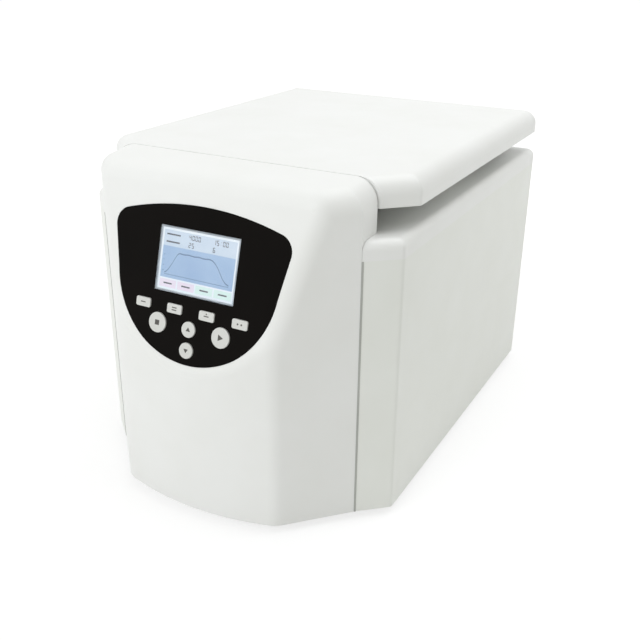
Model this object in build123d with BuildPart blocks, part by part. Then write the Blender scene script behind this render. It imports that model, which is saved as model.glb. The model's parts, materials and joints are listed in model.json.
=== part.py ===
from build123d import *

import os
from math import cos, radians, sin, sqrt, tan

# Benchtop laboratory centrifuge: a moulded front with a shield-shaped keypad and screen, sheet-metal sides,
# a hinged lid over a stainless chamber, and a motor-driven fixed-angle rotor.
#
# Frame: +X to the operator's right, +Y to the rear, +Z up. The origin is on the bench, under the middle of
# the overall box. All sizes are millimetres.

# Overall body
body_width = 390.0
side_front_y = -181.0
corner_depth = 28.5
corner_width = 33.0
rear_bay = 104.0
middle_screw_offset = 20.0
foot_height = 10.0
side_height = 296.0
deck_rise = 20.0
deck_edge_radius = 10.0
lid_gap = 25.0
lid_height = 30.0
lid_edge_radius = 18.0
bend_radius = 6.0
sheet = 2.0
wall = 4.0
fit_gap = 0.3
bolt_gap = 0.05

# Front moulding: a bowed front between two flat cheeks, cut back by the leaning keypad face and by the crown
fascia_bulge = 81.0
cheek_width = 62.0
cheek_depth = 65.0
cheek_radius = 30.0
seam_overlap = 32.5
panel_lean = 16.0
panel_reach = 49.0
panel_drop = 92.0
crown_slope = 6.0
crown_radius = 25.0
nose_reach = 20.0
back_opening_side = 12.0
back_opening_rise = 12.0
back_opening_drop = 6.0

# Side covers, tray and rear panel
flange_width = 14.0
return_depth = 24.0
tray_lip = 18.0
cover_screw_inset = 8.0
cover_screw_front = 53.5
cover_screw_rear = 29.0
rear_screw_inset = 12.0
rear_screw_rise = 37.0
rear_screw_middle_rise = 157.0
rear_screw_drop = 30.0
vent_count = 8
vent_pitch = 11.0
vent_width = 4.0
vent_length = 46.0
vent_drop = 105.0
foot_side_inset = 30.0
foot_front_inset = 23.5
foot_rear_inset = 29.0
foot_radius = 14.0
foot_recess = 5.0

# Screws
screw_radius = 2.0
screw_head_radius = 4.0
screw_head_height = 2.4
screw_length = 14.0
boss_radius = 5.0
motor_bolt_radius = 2.5
motor_bolt_head_radius = 4.5
motor_bolt_head_height = 4.0
motor_bolt_head_sides = 6
motor_bolt_count = 4

# Keypad outline, in the keypad face's own plane with its origin at the middle of the screen
keypad_tip = (0.0, -105.8)
keypad_chin = (57.7, -88.0)
keypad_jaw = (86.4, -55.5)
keypad_cheek = (98.5, -18.0)
keypad_shoulder = (110.0, 40.5)
keypad_crown = (0.0, 58.6)
keypad_corner_radius = 18.0
keypad_inlay = 2.4
keypad_proud = 0.4

# Screen and the board behind it
screen_width = 98.0
screen_height = 68.0
glass_thickness = 1.2
glass_recess = 0.3
module_border = 2.5
module_depth = 7.6
bezel_width = 2.0
bezel_height = 0.6
board_thickness = 1.6
board_gap = 2.0
display_board_half = 70.0
display_board_foot_half = 45.0
display_board_top = 45.0
display_board_waist = -60.0
display_board_foot = -99.0
standoff_radius = 3.0
standoff_inset = 8.0
switch_width = 6.0

# Keys
key_row_y = -50.0
key_row_pitch = 40.3
soft_key_width = 18.5
soft_key_height = 10.0
soft_key_corner = 2.0
large_key_radius = 10.8
large_key_x = 39.8
large_key_y = -68.2
small_key_radius = 8.4
upper_key_y = -68.0
lower_key_y = -90.3
key_proud = 1.6
key_travel = 1.0
key_gap = 0.35
key_flange_thickness = 1.5
key_flange_overhang = 1.2
key_pocket_gap = 0.6
key_edge_radius = 0.6

# Chamber
bowl_radius = 132.0
bowl_wall = 1.5
bowl_depth = 137.5
bowl_floor_hole_radius = 22.0
bowl_rim_width = 16.0
bowl_clearance = 2.5
gasket_height = 4.5
gasket_width = 9.0
armour_gap = 2.0
armour_wall = 4.0
armour_skirt = 4.0
armour_headroom = 10.0
post_radius = 5.0
post_count = 4
boot_wall = 4.0
boot_foot_radius = 24.0
boot_mouth_radius = 32.0
sensor_x = 48.0
sensor_width = 16.0
sensor_height = 12.0

# Motor on its rubber mounts
mount_height = 28.0
mount_radius = 14.0
mount_spacing = 160.0
motor_plate_width = 196.0
motor_plate_thickness = 6.0
motor_plate_hole_radius = 22.0
motor_radius = 58.0
motor_headroom = 18.5
motor_cap_height = 6.0
motor_flange_thickness = 6.0
motor_flange_radius = 70.0
stator_headroom = 26.0
stator_base_rise = 22.0
stator_bore_radius = 31.0
core_gap = 1.0
core_inset = 4.0
bearing_radius = 16.0
bearing_height = 10.0
bearing_seat_wall = 4.0
shaft_radius = 8.0
shaft_gap = 0.05
shaft_hole_radius = 9.0

# Spindle and rotor
spigot_radius = 6.0
collar_radius = 22.0
collar_foot_radius = 18.0
collar_height = 14.0
collar_seat = 6.0
rotor_rise = 18.0
rotor_height = 100.0
rotor_radius = 110.0
rotor_foot_radius = 80.0
rotor_heel = (100.0, 10.0)
rotor_belly_rise = 26.0
rotor_belly_height = 14.0
rotor_rim_radius = 86.0
rotor_rim_width = 4.0
hub_radius = 26.0
pocket_count = 6
pocket_radius = 15.0
pocket_depth = 80.0
pocket_tilt = 28.0
pocket_mouth_radius = 52.0
nut_radius = 14.0
nut_height = 22.0
nut_thread_depth = 14.0
nut_flute_count = 8
nut_flute_radius = 2.5

# Lid
lid_front_gap = 1.5
lid_front_overhang = 2.0
lid_rear_inset = 8.0
liner_thickness = 3.0
liner_land_width = 24.0
liner_land_depth = 12.0
liner_chamfer = 6.0
liner_screw_side = 25.0
liner_screw_front = 58.0
liner_screw_rear = 24.0
pad_side_inset = 75.0
pad_front_inset = 28.0
pad_radius = 6.0

# Lid hinges
hinge_rear_inset = 16.0
hinge_drop = 6.5
hinge_side_inset = 70.0
hinge_width = 44.0
hinge_ear = 6.0
hinge_side_gap = 0.5
hinge_pin_radius = 3.0
hinge_pin_overhang = 1.0
knuckle_radius = 5.2
hinge_plate = 2.0
hinge_reach = 30.0
arm_reach = 30.0
arm_plate = 3.0
hinge_base_stop = 2.0
hinge_screw_x = 12.0
hinge_screw_reach = 22.0

# Lid lock
lock_setback = 19.5
lock_bay = 50.5
lock_drop = 9.0
striker_width = 22.0
striker_thickness = 3.0
striker_tail = 22.0
striker_tab = 14.0
striker_tab_thickness = 2.0
striker_window_width = 11.0
striker_window_height = 10.0
slot_gap = 3.0
lock_bolt_radius = 4.0
lock_bolt_length = 34.0
lock_bolt_gap = 2.5
lock_housing_gap = 4.5
lock_housing_width = 40.0
lock_housing_length = 20.0
lock_housing_height = 20.0
solenoid_width = 28.0
solenoid_length = 22.0
solenoid_height = 18.0
solenoid_bore_gap = 0.3

# Fan
fan_inset = 85.0
fan_rise = 87.0
fan_size = 80.0
fan_depth = 25.0
fan_bore_radius = 38.0
fan_screw_pitch = 71.5
fan_hub_radius = 16.0
fan_tip_gap = 1.5
fan_blade_count = 7
fan_blade_thickness = 2.0
fan_blade_pitch = 35.0
fan_spider = 3.0
fan_spider_width = 5.0
fan_pin_radius = 2.0
fan_pin_length = 14.0
guard_thickness = 2.5
guard_wire = 2.5
guard_ring_radius = 12.0
guard_ring_pitch = 9.0
guard_ring_count = 4

# Mains inlet and switch
inlet_inset = 75.0
inlet_rise = 54.0
inlet_flange_width = 50.0
inlet_flange_height = 28.0
inlet_body_width = 28.0
inlet_body_height = 20.0
inlet_depth = 26.0
inlet_recess_width = 24.4
inlet_recess_height = 16.4
inlet_recess_depth = 17.0
inlet_pin_pitch = 7.0
inlet_pin_rise = 2.0
inlet_pin_width = 2.4
inlet_pin_height = 4.0
inlet_pin_length = 14.0
inlet_screw_spacing = 40.0
rocker_spacing = 60.0
rocker_frame_width = 23.0
rocker_frame_height = 32.0
rocker_body_width = 19.4
rocker_body_height = 28.0
rocker_body_depth = 16.0
rocker_cavity_width = 16.0
rocker_cavity_height = 24.4
rocker_width = 15.4
rocker_height = 21.4
rocker_depth = 9.0
rocker_tilt = 8.0
rocker_pivot_drop = 2.25
rocker_edge_radius = 1.5
rocker_pin_radius = 1.5
rocker_pin_end_gap = 0.2
bumper_inset = 50.0
bumper_rise = 22.0
bumper_drop = 35.0
bumper_radius = 9.0
bumper_height = 8.0

# Electronics on the tray
bracket_setback = 19.5
bracket_width = 160.0
bracket_height = 138.0
bracket_foot = 20.0
control_board_width = 140.0
control_board_height = 110.0
control_board_rise = 18.0
control_board_standoff = 6.0
capacitor_radius = 6.0
capacitor_height = 8.0
capacitor_pitch = 32.0
capacitor_columns = 3
capacitor_rows = 2
sink_inset = 85.0
sink_rear_gap = 35.0
sink_width = 100.0
sink_length = 75.0
sink_height = 38.0
sink_base = 6.0
fin_count = 10
fin_thickness = 3.0
drive_board_margin = 4.0
drive_board_standoff = 6.0
drive_capacitor_radius = 8.0
drive_capacitor_height = 28.0
drive_capacitor_pitch = 24.0

# Radii in the chamber
bowl_outer_radius = bowl_radius + bowl_wall
deck_hole_radius = bowl_outer_radius + bowl_clearance
rim_radius = bowl_radius + bowl_rim_width
armour_bore_radius = bowl_outer_radius + armour_gap
armour_radius = armour_bore_radius + armour_wall
liner_boss_radius = rim_radius + wall

# Plan positions from side to side
body_half = body_width / 2
fascia_width = body_width - 2 * corner_width
fascia_half = fascia_width / 2
back_opening_width = fascia_width - 2 * back_opening_side
cover_inner_x = fascia_half + fit_gap
tray_half = body_half - sheet - fit_gap
rear_panel_half = body_half - bend_radius - fit_gap
foot_x = body_half - foot_side_inset
lid_front_half = fascia_half + lid_front_overhang
lid_corner = body_half - lid_front_half
liner_screw_x = body_half - liner_screw_side
pad_x = body_half - pad_side_inset
hinge_spacing = body_width - 2 * hinge_side_inset
fan_x = fan_inset - body_half
inlet_x = body_half - inlet_inset
rocker_x = inlet_x - rocker_spacing
bumper_x = body_half - bumper_inset
sink_x = body_half - sink_inset

# Plan positions from front to rear
seam_y = side_front_y - corner_depth
panel_y = seam_y - panel_reach
fascia_rear_y = seam_y + seam_overlap
lid_front_y = fascia_rear_y + lid_front_gap
pad_y = lid_front_y + pad_front_inset
bracket_y = fascia_rear_y + bracket_setback
lock_y = fascia_rear_y + lock_setback
chamber_y = lock_y + lock_bay + armour_radius
rear_y = chamber_y + rim_radius + rear_bay
panel_back_y = rear_y - sheet
panel_front_y = panel_back_y - sheet
lid_rear_y = rear_y - lid_rear_inset
hinge_y = rear_y - hinge_rear_inset
foot_front_y = side_front_y + foot_front_inset
foot_rear_y = rear_y - foot_rear_inset
sink_y = panel_front_y - sink_rear_gap - sink_length / 2
middle_screw_y = chamber_y + middle_screw_offset
cover_screw_y = (side_front_y + cover_screw_front, middle_screw_y, rear_y - cover_screw_rear)
liner_screw_y = (lid_front_y + liner_screw_front, middle_screw_y, lid_rear_y - liner_screw_rear)

# Heights
body_bottom = foot_height
side_top = body_bottom + side_height
deck_top = side_top + deck_rise
deck_underside = deck_top - wall
lid_bottom = deck_top + lid_gap
lid_top = lid_bottom + lid_height
panel_z = lid_top - panel_drop
back_opening_bottom = body_bottom + back_opening_rise
back_opening_top = side_top - back_opening_drop
rim_top = deck_top + bowl_wall
gasket_top = rim_top + gasket_height
bowl_floor_z = rim_top - bowl_depth
bowl_underside = bowl_floor_z - bowl_wall
armour_bottom_z = bowl_floor_z - armour_skirt
armour_height = deck_underside - armour_headroom - armour_bottom_z
rotor_base_z = bowl_floor_z + rotor_rise
rotor_top_z = rotor_base_z + rotor_height
hinge_z = lid_bottom - hinge_drop
lock_z = deck_underside - lock_drop
striker_bottom = deck_top - striker_tail
vent_z = side_top - vent_drop
fan_z = body_bottom + fan_rise
inlet_z = body_bottom + inlet_rise
bumper_low_z = body_bottom + bumper_rise
bumper_high_z = side_top - bumper_drop
rear_screw_low_z = body_bottom + rear_screw_rise
rear_screw_middle_z = body_bottom + rear_screw_middle_rise
rear_screw_z = (rear_screw_low_z, rear_screw_middle_z, side_top - rear_screw_drop)

# Motor heights: it fills the room between its plate and the bowl
tray_bottom = body_bottom + sheet
tray_top = tray_bottom + sheet
motor_plate_z = tray_top + mount_height
motor_base_z = motor_plate_z + motor_plate_thickness
motor_floor_z = motor_base_z + motor_flange_thickness
motor_top_z = bowl_underside - motor_headroom
motor_height = motor_top_z - motor_base_z
motor_cap_z = motor_top_z - motor_cap_height
motor_bolt_circle_radius = (motor_radius + motor_flange_radius) / 2
stator_z = motor_base_z + stator_base_rise
stator_height = motor_height - stator_base_rise - stator_headroom
core_z = stator_z + core_inset
core_height = stator_height - 2 * core_inset

# Rotor dish: it falls towards the hub square to the pockets
dish_fall = tan(radians(pocket_tilt))
dish_edge_radius = rotor_rim_radius - rotor_rim_width
hub_z = rotor_top_z - (dish_edge_radius - hub_radius) * dish_fall
pocket_mouth_z = rotor_top_z - (dish_edge_radius - pocket_mouth_radius) * dish_fall
spindle_top_z = hub_z + nut_thread_depth - fit_gap
collar_z = rotor_base_z - collar_height

# Keypad stack, as distances along the keypad face's normal
glass_front = keypad_proud - glass_recess
glass_back = glass_front - glass_thickness
module_back = -keypad_inlay - module_depth
lit_front = glass_back - bezel_height
display_board_front = module_back - board_gap
key_shoulder = -keypad_inlay - fit_gap
key_back = key_shoulder - key_flange_thickness
switch_top = key_back - key_travel - fit_gap

panel_normal = (0, -cos(radians(panel_lean)), sin(radians(panel_lean)))
panel_plane = Plane(origin=(0, panel_y, panel_z), x_dir=(1, 0, 0), z_dir=panel_normal)
crown_normal = (0, -sin(radians(crown_slope)), cos(radians(crown_slope)))
crown_plane = Plane(origin=(0, fascia_rear_y, lid_top), x_dir=(1, 0, 0), z_dir=crown_normal)
chamber_axis = Axis((0, chamber_y, 0), (0, 0, 1))

keys = [
    ("key_soft_1", "soft", -1.5 * key_row_pitch, key_row_y),
    ("key_soft_2", "soft", -0.5 * key_row_pitch, key_row_y),
    ("key_soft_3", "soft", 0.5 * key_row_pitch, key_row_y),
    ("key_soft_4", "soft", 1.5 * key_row_pitch, key_row_y),
    ("key_stop", "large", -large_key_x, large_key_y),
    ("key_start", "large", large_key_x, large_key_y),
    ("key_up", "small", 0.0, upper_key_y),
    ("key_down", "small", 0.0, lower_key_y),
]
foot_places = [(x, y) for x in (-foot_x, foot_x) for y in (foot_front_y, foot_rear_y)]
cover_screw_x = body_half - cover_screw_inset
cover_screw_places = [(x, y) for x in (-cover_screw_x, cover_screw_x) for y in cover_screw_y]
rear_screw_x = body_half - rear_screw_inset
rear_screw_places = [(x, z) for x in (-rear_screw_x, rear_screw_x) for z in rear_screw_z]
liner_screw_places = [(x, y) for x in (-liner_screw_x, liner_screw_x) for y in liner_screw_y]
mount_half = mount_spacing / 2
mount_places = [(x, chamber_y + y) for x in (-mount_half, mount_half) for y in (-mount_half, mount_half)]
hinge_places = (-hinge_spacing / 2, hinge_spacing / 2)
hinge_screw_y = hinge_y - hinge_screw_reach
hinge_screw_places = [(x + side * hinge_screw_x, hinge_screw_y) for x in hinge_places for side in (-1, 1)]

os.makedirs("parts", exist_ok=True)


def keep(piece, label):
    """Names a finished piece and writes it."""
    piece.part.label = label
    export_step(piece.part, f"parts/{label}.step")


def across_y(y):
    """A plane at this y, with its own x along +X, its own y up and its normal to the front."""
    return Plane(origin=(0, y, 0), x_dir=(1, 0, 0), z_dir=(0, -1, 0))


def turned(*corners):
    """A solid of revolution about the chamber's axis, from its (radius, height) corners."""
    with BuildPart() as solid:
        with BuildSketch(across_y(chamber_y)):
            with BuildLine():
                Polyline(*corners, close=True)
            make_face()
        revolve(axis=chamber_axis)
    return solid.part


def flipped(point):
    """The point's mirror image on the other side of the middle."""
    return (-point[0], point[1])


def screws(places, seat, head_down=False, plane=Plane.XY):
    """Pan-head screws on one plane: heads stand out from seat, shanks run the other way."""
    out = -1 if head_down else 1
    with BuildPart() as group:
        with BuildSketch(plane.offset(seat)):
            with Locations(*places):
                Circle(screw_head_radius)
        extrude(amount=out * screw_head_height)
        with BuildSketch(plane.offset(seat)):
            with Locations(*places):
                Circle(screw_radius)
        extrude(amount=-out * screw_length)
    return group.part


def fascia_plan(inset, rear):
    """Plan of the front moulding as far as rear, with its other sides moved in by inset."""
    crease = (fascia_half - cheek_width, seam_y - cheek_depth)
    corner = (fascia_half, seam_y)
    heel = (fascia_half, rear + wall + inset)
    with BuildSketch() as plan:
        with BuildLine():
            ThreePointArc(flipped(crease), (0, seam_y - fascia_bulge), crease)
            Polyline(crease, corner, heel, flipped(heel), flipped(corner), flipped(crease))
        make_face()
        fillet(plan.vertices().filter_by(lambda v: v.Y < seam_y - wall), radius=cheek_radius)
        if inset:
            offset(amount=-inset, kind=Kind.INTERSECTION)
        with Locations((0, rear - body_width / 2)):
            Rectangle(body_width, body_width, mode=Mode.INTERSECT)
    return plan.sketch


def fascia_form(inset, rear=fascia_rear_y):
    """The front moulding's outer form with every outer face moved in by inset."""
    with BuildPart() as form:
        with BuildSketch(Plane.XY.offset(body_bottom + inset)):
            add(fascia_plan(inset, rear))
        extrude(amount=lid_top - body_bottom)
        split(bisect_by=panel_plane.offset(-inset), keep=Keep.BOTTOM)
        split(bisect_by=crown_plane.offset(-inset), keep=Keep.BOTTOM)
        crown_edges = form.faces().sort_by(Axis.Z)[-1].edges().filter_by(lambda e: e.center().Y < rear - wall)
        face_edges = form.faces().filter_by(panel_plane).edges()
        face_only = face_edges.filter_by(lambda e: not any(e.is_same(other) for other in crown_edges))
        fillet(crown_edges + face_only, radius=crown_radius - inset)
    return form.part


def keypad_outline(grow=0.0):
    """The shield-shaped outline of the keypad face."""
    with BuildSketch() as outline:
        with BuildLine():
            ThreePointArc(flipped(keypad_chin), keypad_tip, keypad_chin)
            ThreePointArc(keypad_chin, keypad_jaw, keypad_cheek)
            Line(keypad_cheek, keypad_shoulder)
            ThreePointArc(keypad_shoulder, keypad_crown, flipped(keypad_shoulder))
            Line(flipped(keypad_shoulder), flipped(keypad_cheek))
            ThreePointArc(flipped(keypad_cheek), flipped(keypad_jaw), flipped(keypad_chin))
        make_face()
        fillet(outline.vertices().group_by(Axis.Y)[-1], radius=keypad_corner_radius)
        if grow:
            offset(amount=grow)
    return outline.sketch


def key_plan(shape, grow=0.0):
    """A key's outline, grown by a gap or an overhang."""
    with BuildSketch() as plan:
        if shape == "soft":
            RectangleRounded(soft_key_width + 2 * grow, soft_key_height + 2 * grow, soft_key_corner + grow)
        else:
            Circle((large_key_radius if shape == "large" else small_key_radius) + grow)
    return plan.sketch


def body_plan(inset=0.0):
    """Plan of the sheet body. Its front corners are cut back, and run on into the moulding's place."""
    nose_half = fascia_half - nose_reach
    nose_y = seam_y - nose_reach * corner_depth / (body_half - fascia_half)
    with BuildSketch() as plan:
        with BuildLine():
            Polyline(
                (-nose_half, nose_y),
                (nose_half, nose_y),
                (body_half, side_front_y),
                (body_half, rear_y),
                (-body_half, rear_y),
                (-body_half, side_front_y),
                close=True,
            )
        make_face()
        fillet(plan.vertices().filter_by(lambda v: abs(v.X) > fascia_half), radius=bend_radius)
        if inset:
            offset(amount=-inset)
    return plan.sketch


def cover_strip(side, width):
    """Plan of a strip along the outer edge of one side cover."""
    with BuildSketch() as strip:
        add(body_plan())
        add(body_plan(width), mode=Mode.SUBTRACT)
        with Locations((side * (cover_inner_x + body_half) / 2, (seam_y + rear_y) / 2)):
            Rectangle(body_half - cover_inner_x, rear_y - seam_y, mode=Mode.INTERSECT)
    return strip.sketch


def lid_plan(inset=0.0):
    """Plan of the lid. Its front edge is square to meet the moulding, and its other corners are rounded."""
    with BuildSketch() as plan:
        with BuildLine():
            Polyline(
                (-lid_front_half, lid_front_y),
                (lid_front_half, lid_front_y),
                (body_half, lid_front_y + lid_corner),
                (body_half, lid_rear_y),
                (-body_half, lid_rear_y),
                (-body_half, lid_front_y + lid_corner),
                close=True,
            )
        make_face()
        fillet(plan.vertices().filter_by(lambda v: v.Y > lid_front_y + wall), radius=bend_radius)
        if inset:
            offset(amount=-inset, kind=Kind.INTERSECTION)
    return plan.sketch


def capped_form(plan, bottom, top, radius, square_front=False):
    """A plan raised to top, with its upper edges rounded, all but the front one if that is square."""
    with BuildPart() as form:
        with BuildSketch(Plane.XY.offset(bottom)):
            add(plan)
        extrude(amount=top - bottom)
        rim = form.faces().sort_by(Axis.Z)[-1].edges()
        if square_front:
            rim = rim.sort_by(Axis.Y)[1:]
        fillet(rim, radius=radius)
    return form.part


# Front moulding: a hollow shell with a recess for the keypad and a large opening at the back
with BuildPart() as front_fascia:
    add(fascia_form(0))
    add(fascia_form(wall, fascia_rear_y - wall), mode=Mode.SUBTRACT)
    with BuildSketch(panel_plane.offset(wall)):
        add(keypad_outline(fit_gap))
    extrude(amount=-wall - keypad_inlay, mode=Mode.SUBTRACT)
    with BuildSketch(panel_plane):
        Rectangle(
            screen_width + 2 * (module_border + fit_gap),
            screen_height + 2 * (module_border + fit_gap),
        )
        for label, shape, x, y in keys:
            with Locations((x, y)):
                add(key_plan(shape, key_flange_overhang + key_pocket_gap))
    extrude(amount=-2 * wall, mode=Mode.SUBTRACT)
    with BuildSketch(across_y(fascia_rear_y)):
        with Locations((0, (back_opening_bottom + back_opening_top) / 2)):
            Rectangle(back_opening_width, back_opening_top - back_opening_bottom)
    extrude(amount=wall, mode=Mode.SUBTRACT)
keep(front_fascia, "front_fascia")

# Keypad face: a glossy plate let into the moulding, open for the screen and for each key
with BuildPart() as keypad_face:
    with BuildSketch(panel_plane.offset(-keypad_inlay)):
        add(keypad_outline())
        Rectangle(screen_width + 2 * fit_gap, screen_height + 2 * fit_gap, mode=Mode.SUBTRACT)
        for label, shape, x, y in keys:
            with Locations((x, y)):
                add(key_plan(shape, key_gap), mode=Mode.SUBTRACT)
    extrude(amount=keypad_inlay + keypad_proud)
keep(keypad_face, "keypad_face")

# Screen glass
with BuildPart() as display_glass:
    with BuildSketch(panel_plane.offset(glass_back)):
        Rectangle(screen_width, screen_height)
    extrude(amount=glass_thickness)
keep(display_glass, "display_glass")

# Screen module: a box behind the keypad face. Its bezel carries the glass, in front of the lit part
with BuildPart() as lcd_module:
    with BuildSketch(panel_plane.offset(module_back)):
        Rectangle(screen_width + 2 * module_border, screen_height + 2 * module_border)
    extrude(amount=module_depth)
    with BuildSketch(panel_plane.offset(-keypad_inlay)):
        Rectangle(screen_width, screen_height)
    extrude(amount=glass_back + keypad_inlay)
    with BuildSketch(panel_plane.offset(glass_back)):
        Rectangle(screen_width - 2 * bezel_width, screen_height - 2 * bezel_width)
    extrude(amount=lit_front - glass_back, mode=Mode.SUBTRACT)
keep(lcd_module, "lcd_module")

# Display board on four standoffs behind the keypad
with BuildPart() as display_board:
    with BuildSketch(panel_plane.offset(display_board_front)):
        with BuildLine():
            Polyline(
                (-display_board_half, display_board_top),
                (display_board_half, display_board_top),
                (display_board_half, display_board_waist),
                (display_board_foot_half, display_board_foot),
                (-display_board_foot_half, display_board_foot),
                (-display_board_half, display_board_waist),
                close=True,
            )
        make_face()
    extrude(amount=-board_thickness)
    with BuildSketch(panel_plane.offset(display_board_front)):
        for half, edge, inward in (
            (display_board_half, display_board_top, -standoff_inset),
            (display_board_foot_half, display_board_foot, standoff_inset),
        ):
            for side in (-1, 1):
                with Locations((side * (half - standoff_inset), edge + inward)):
                    Circle(standoff_radius)
    extrude(amount=-wall - display_board_front)
keep(display_board, "display_board")

# Tactile switches under the keys
with BuildPart() as key_switches:
    with BuildSketch(panel_plane.offset(display_board_front)):
        with Locations(*[(x, y) for label, shape, x, y in keys]):
            Rectangle(switch_width, switch_width)
    extrude(amount=switch_top - display_board_front)
keep(key_switches, "key_switches")

# Keys: each has a cap that stands proud and a flange that holds it behind the keypad face
for label, shape, x, y in keys:
    with BuildPart() as key:
        with BuildSketch(panel_plane.offset(key_shoulder)):
            with Locations((x, y)):
                add(key_plan(shape))
        extrude(amount=key_proud + keypad_proud - key_shoulder)
        fillet(key.faces().sort_by(Axis((0, 0, 0), panel_normal))[-1].edges(), radius=key_edge_radius)
        with BuildSketch(panel_plane.offset(key_shoulder)):
            with Locations((x, y)):
                add(key_plan(shape, key_flange_overhang))
        extrude(amount=-key_flange_thickness)
    keep(key, label)

# Side covers: folded sheet with a flange at the tray, at the deck, at the rear and beside the moulding
for side, label in ((-1, "left_side_cover"), (1, "right_side_cover")):
    with BuildPart() as side_cover:
        with BuildSketch(Plane.XY.offset(body_bottom)):
            add(cover_strip(side, sheet))
            with Locations((side * (cover_inner_x + sheet / 2), seam_y + return_depth / 2)):
                Rectangle(sheet, return_depth)
            add(body_plan(), mode=Mode.INTERSECT)
        extrude(amount=side_height)
        for flange_z in (body_bottom, side_top - sheet):
            with BuildSketch(Plane.XY.offset(flange_z)):
                add(cover_strip(side, flange_width))
            extrude(amount=sheet)
        with BuildSketch(Plane.XY.offset(body_bottom)):
            with Locations(*[(side * cover_screw_x, y) for y in cover_screw_y]):
                Circle(screw_radius + bolt_gap)
        extrude(amount=side_height, mode=Mode.SUBTRACT)
        with BuildSketch(across_y(rear_y)):
            with Locations(*[(side * rear_screw_x, z) for z in rear_screw_z]):
                Circle(screw_radius + bolt_gap)
        extrude(amount=sheet, mode=Mode.SUBTRACT)
    keep(side_cover, label)

# Base tray
with BuildPart() as base_tray:
    tray_front = fascia_rear_y + fit_gap
    tray_rear = panel_front_y - fit_gap
    with BuildSketch(Plane.XY.offset(tray_bottom)):
        with Locations((0, (tray_front + tray_rear) / 2)):
            RectangleRounded(2 * tray_half, tray_rear - tray_front, bend_radius)
    extrude(amount=sheet)
    with BuildSketch(Plane.XY.offset(tray_top)):
        for side in (-1, 1):
            with Locations((side * (tray_half - sheet / 2), (tray_front + tray_rear) / 2)):
                Rectangle(sheet, tray_rear - tray_front - 2 * bend_radius)
    extrude(amount=tray_lip)
    with BuildSketch(Plane.XY.offset(tray_bottom)):
        with Locations(*foot_places, *cover_screw_places):
            Circle(screw_radius + bolt_gap)
        with Locations((fan_x, chamber_y)):
            with GridLocations(vent_pitch, 1, vent_count, 1):
                SlotOverall(vent_length, vent_width, rotation=90)
    extrude(amount=sheet, mode=Mode.SUBTRACT)
keep(base_tray, "base_tray")

# Rubber feet with recessed screws
with BuildPart() as feet:
    with BuildSketch():
        with Locations(*foot_places):
            Circle(foot_radius)
    extrude(amount=tray_bottom)
    with BuildSketch():
        with Locations(*foot_places):
            Circle(screw_head_radius + fit_gap)
    extrude(amount=foot_recess, mode=Mode.SUBTRACT)
    with BuildSketch():
        with Locations(*foot_places):
            Circle(screw_radius + bolt_gap)
    extrude(amount=tray_bottom, mode=Mode.SUBTRACT)
keep(feet, "feet")

# Rear panel with cut-outs for the fan, the inlet and the switch, and a row of vents
with BuildPart() as rear_panel:
    low = tray_bottom + fit_gap
    high = side_top - sheet - fit_gap
    with BuildSketch(across_y(panel_back_y)):
        with Locations((0, (low + high) / 2)):
            Rectangle(2 * rear_panel_half, high - low)
        with Locations((fan_x, fan_z)):
            Circle(fan_bore_radius, mode=Mode.SUBTRACT)
            with GridLocations(fan_screw_pitch, fan_screw_pitch, 2, 2):
                Circle(screw_radius + bolt_gap, mode=Mode.SUBTRACT)
        with Locations((inlet_x, inlet_z)):
            Rectangle(
                inlet_body_width + 2 * fit_gap, inlet_body_height + 2 * fit_gap, mode=Mode.SUBTRACT
            )
            with GridLocations(inlet_screw_spacing, 1, 2, 1):
                Circle(screw_radius + bolt_gap, mode=Mode.SUBTRACT)
        with Locations((rocker_x, inlet_z)):
            Rectangle(
                rocker_body_width + 2 * fit_gap, rocker_body_height + 2 * fit_gap, mode=Mode.SUBTRACT
            )
        with Locations(*rear_screw_places):
            Circle(screw_radius + bolt_gap, mode=Mode.SUBTRACT)
        with Locations((fan_x, vent_z)):
            with GridLocations(vent_pitch, 1, vent_count, 1):
                SlotOverall(vent_length, vent_width, rotation=90, mode=Mode.SUBTRACT)
    extrude(amount=sheet)
keep(rear_panel, "rear_panel")

# Top deck: a moulded surround with rounded shoulders, cut away for the front moulding and the chamber
with BuildPart() as deck_hollow:
    add(capped_form(body_plan(wall), side_top, deck_underside, deck_edge_radius - wall))
    with BuildSketch(Plane.XY.offset(side_top)):
        with Locations(*cover_screw_places):
            Circle(boss_radius)
    extrude(amount=deck_rise, mode=Mode.SUBTRACT)

with BuildPart() as top_deck:
    add(capped_form(body_plan(), side_top, deck_top, deck_edge_radius))
    add(deck_hollow, mode=Mode.SUBTRACT)
    add(fascia_form(-fit_gap, fascia_rear_y + fit_gap), mode=Mode.SUBTRACT)
    with BuildSketch(Plane.XY.offset(side_top)):
        with Locations(*cover_screw_places):
            Circle(screw_radius + bolt_gap)
    extrude(amount=screw_length - sheet, mode=Mode.SUBTRACT)
    with BuildSketch(Plane.XY.offset(deck_top)):
        with Locations((0, chamber_y)):
            Circle(deck_hole_radius)
        with Locations((0, lock_y)):
            Rectangle(striker_width + 2 * slot_gap, striker_thickness + 2 * slot_gap)
        with Locations(*hinge_screw_places):
            Circle(screw_radius + bolt_gap)
    extrude(amount=-wall, mode=Mode.SUBTRACT)
keep(top_deck, "top_deck")

# Chamber bowl, hung from the deck by its rim
with BuildPart() as chamber_bowl:
    add(
        turned(
            (bowl_floor_hole_radius, bowl_underside),
            (bowl_outer_radius, bowl_underside),
            (bowl_outer_radius, deck_top),
            (rim_radius, deck_top),
            (rim_radius, rim_top),
            (bowl_radius, rim_top),
            (bowl_radius, bowl_floor_z),
            (bowl_floor_hole_radius, bowl_floor_z),
        )
    )
keep(chamber_bowl, "chamber_bowl")

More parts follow.
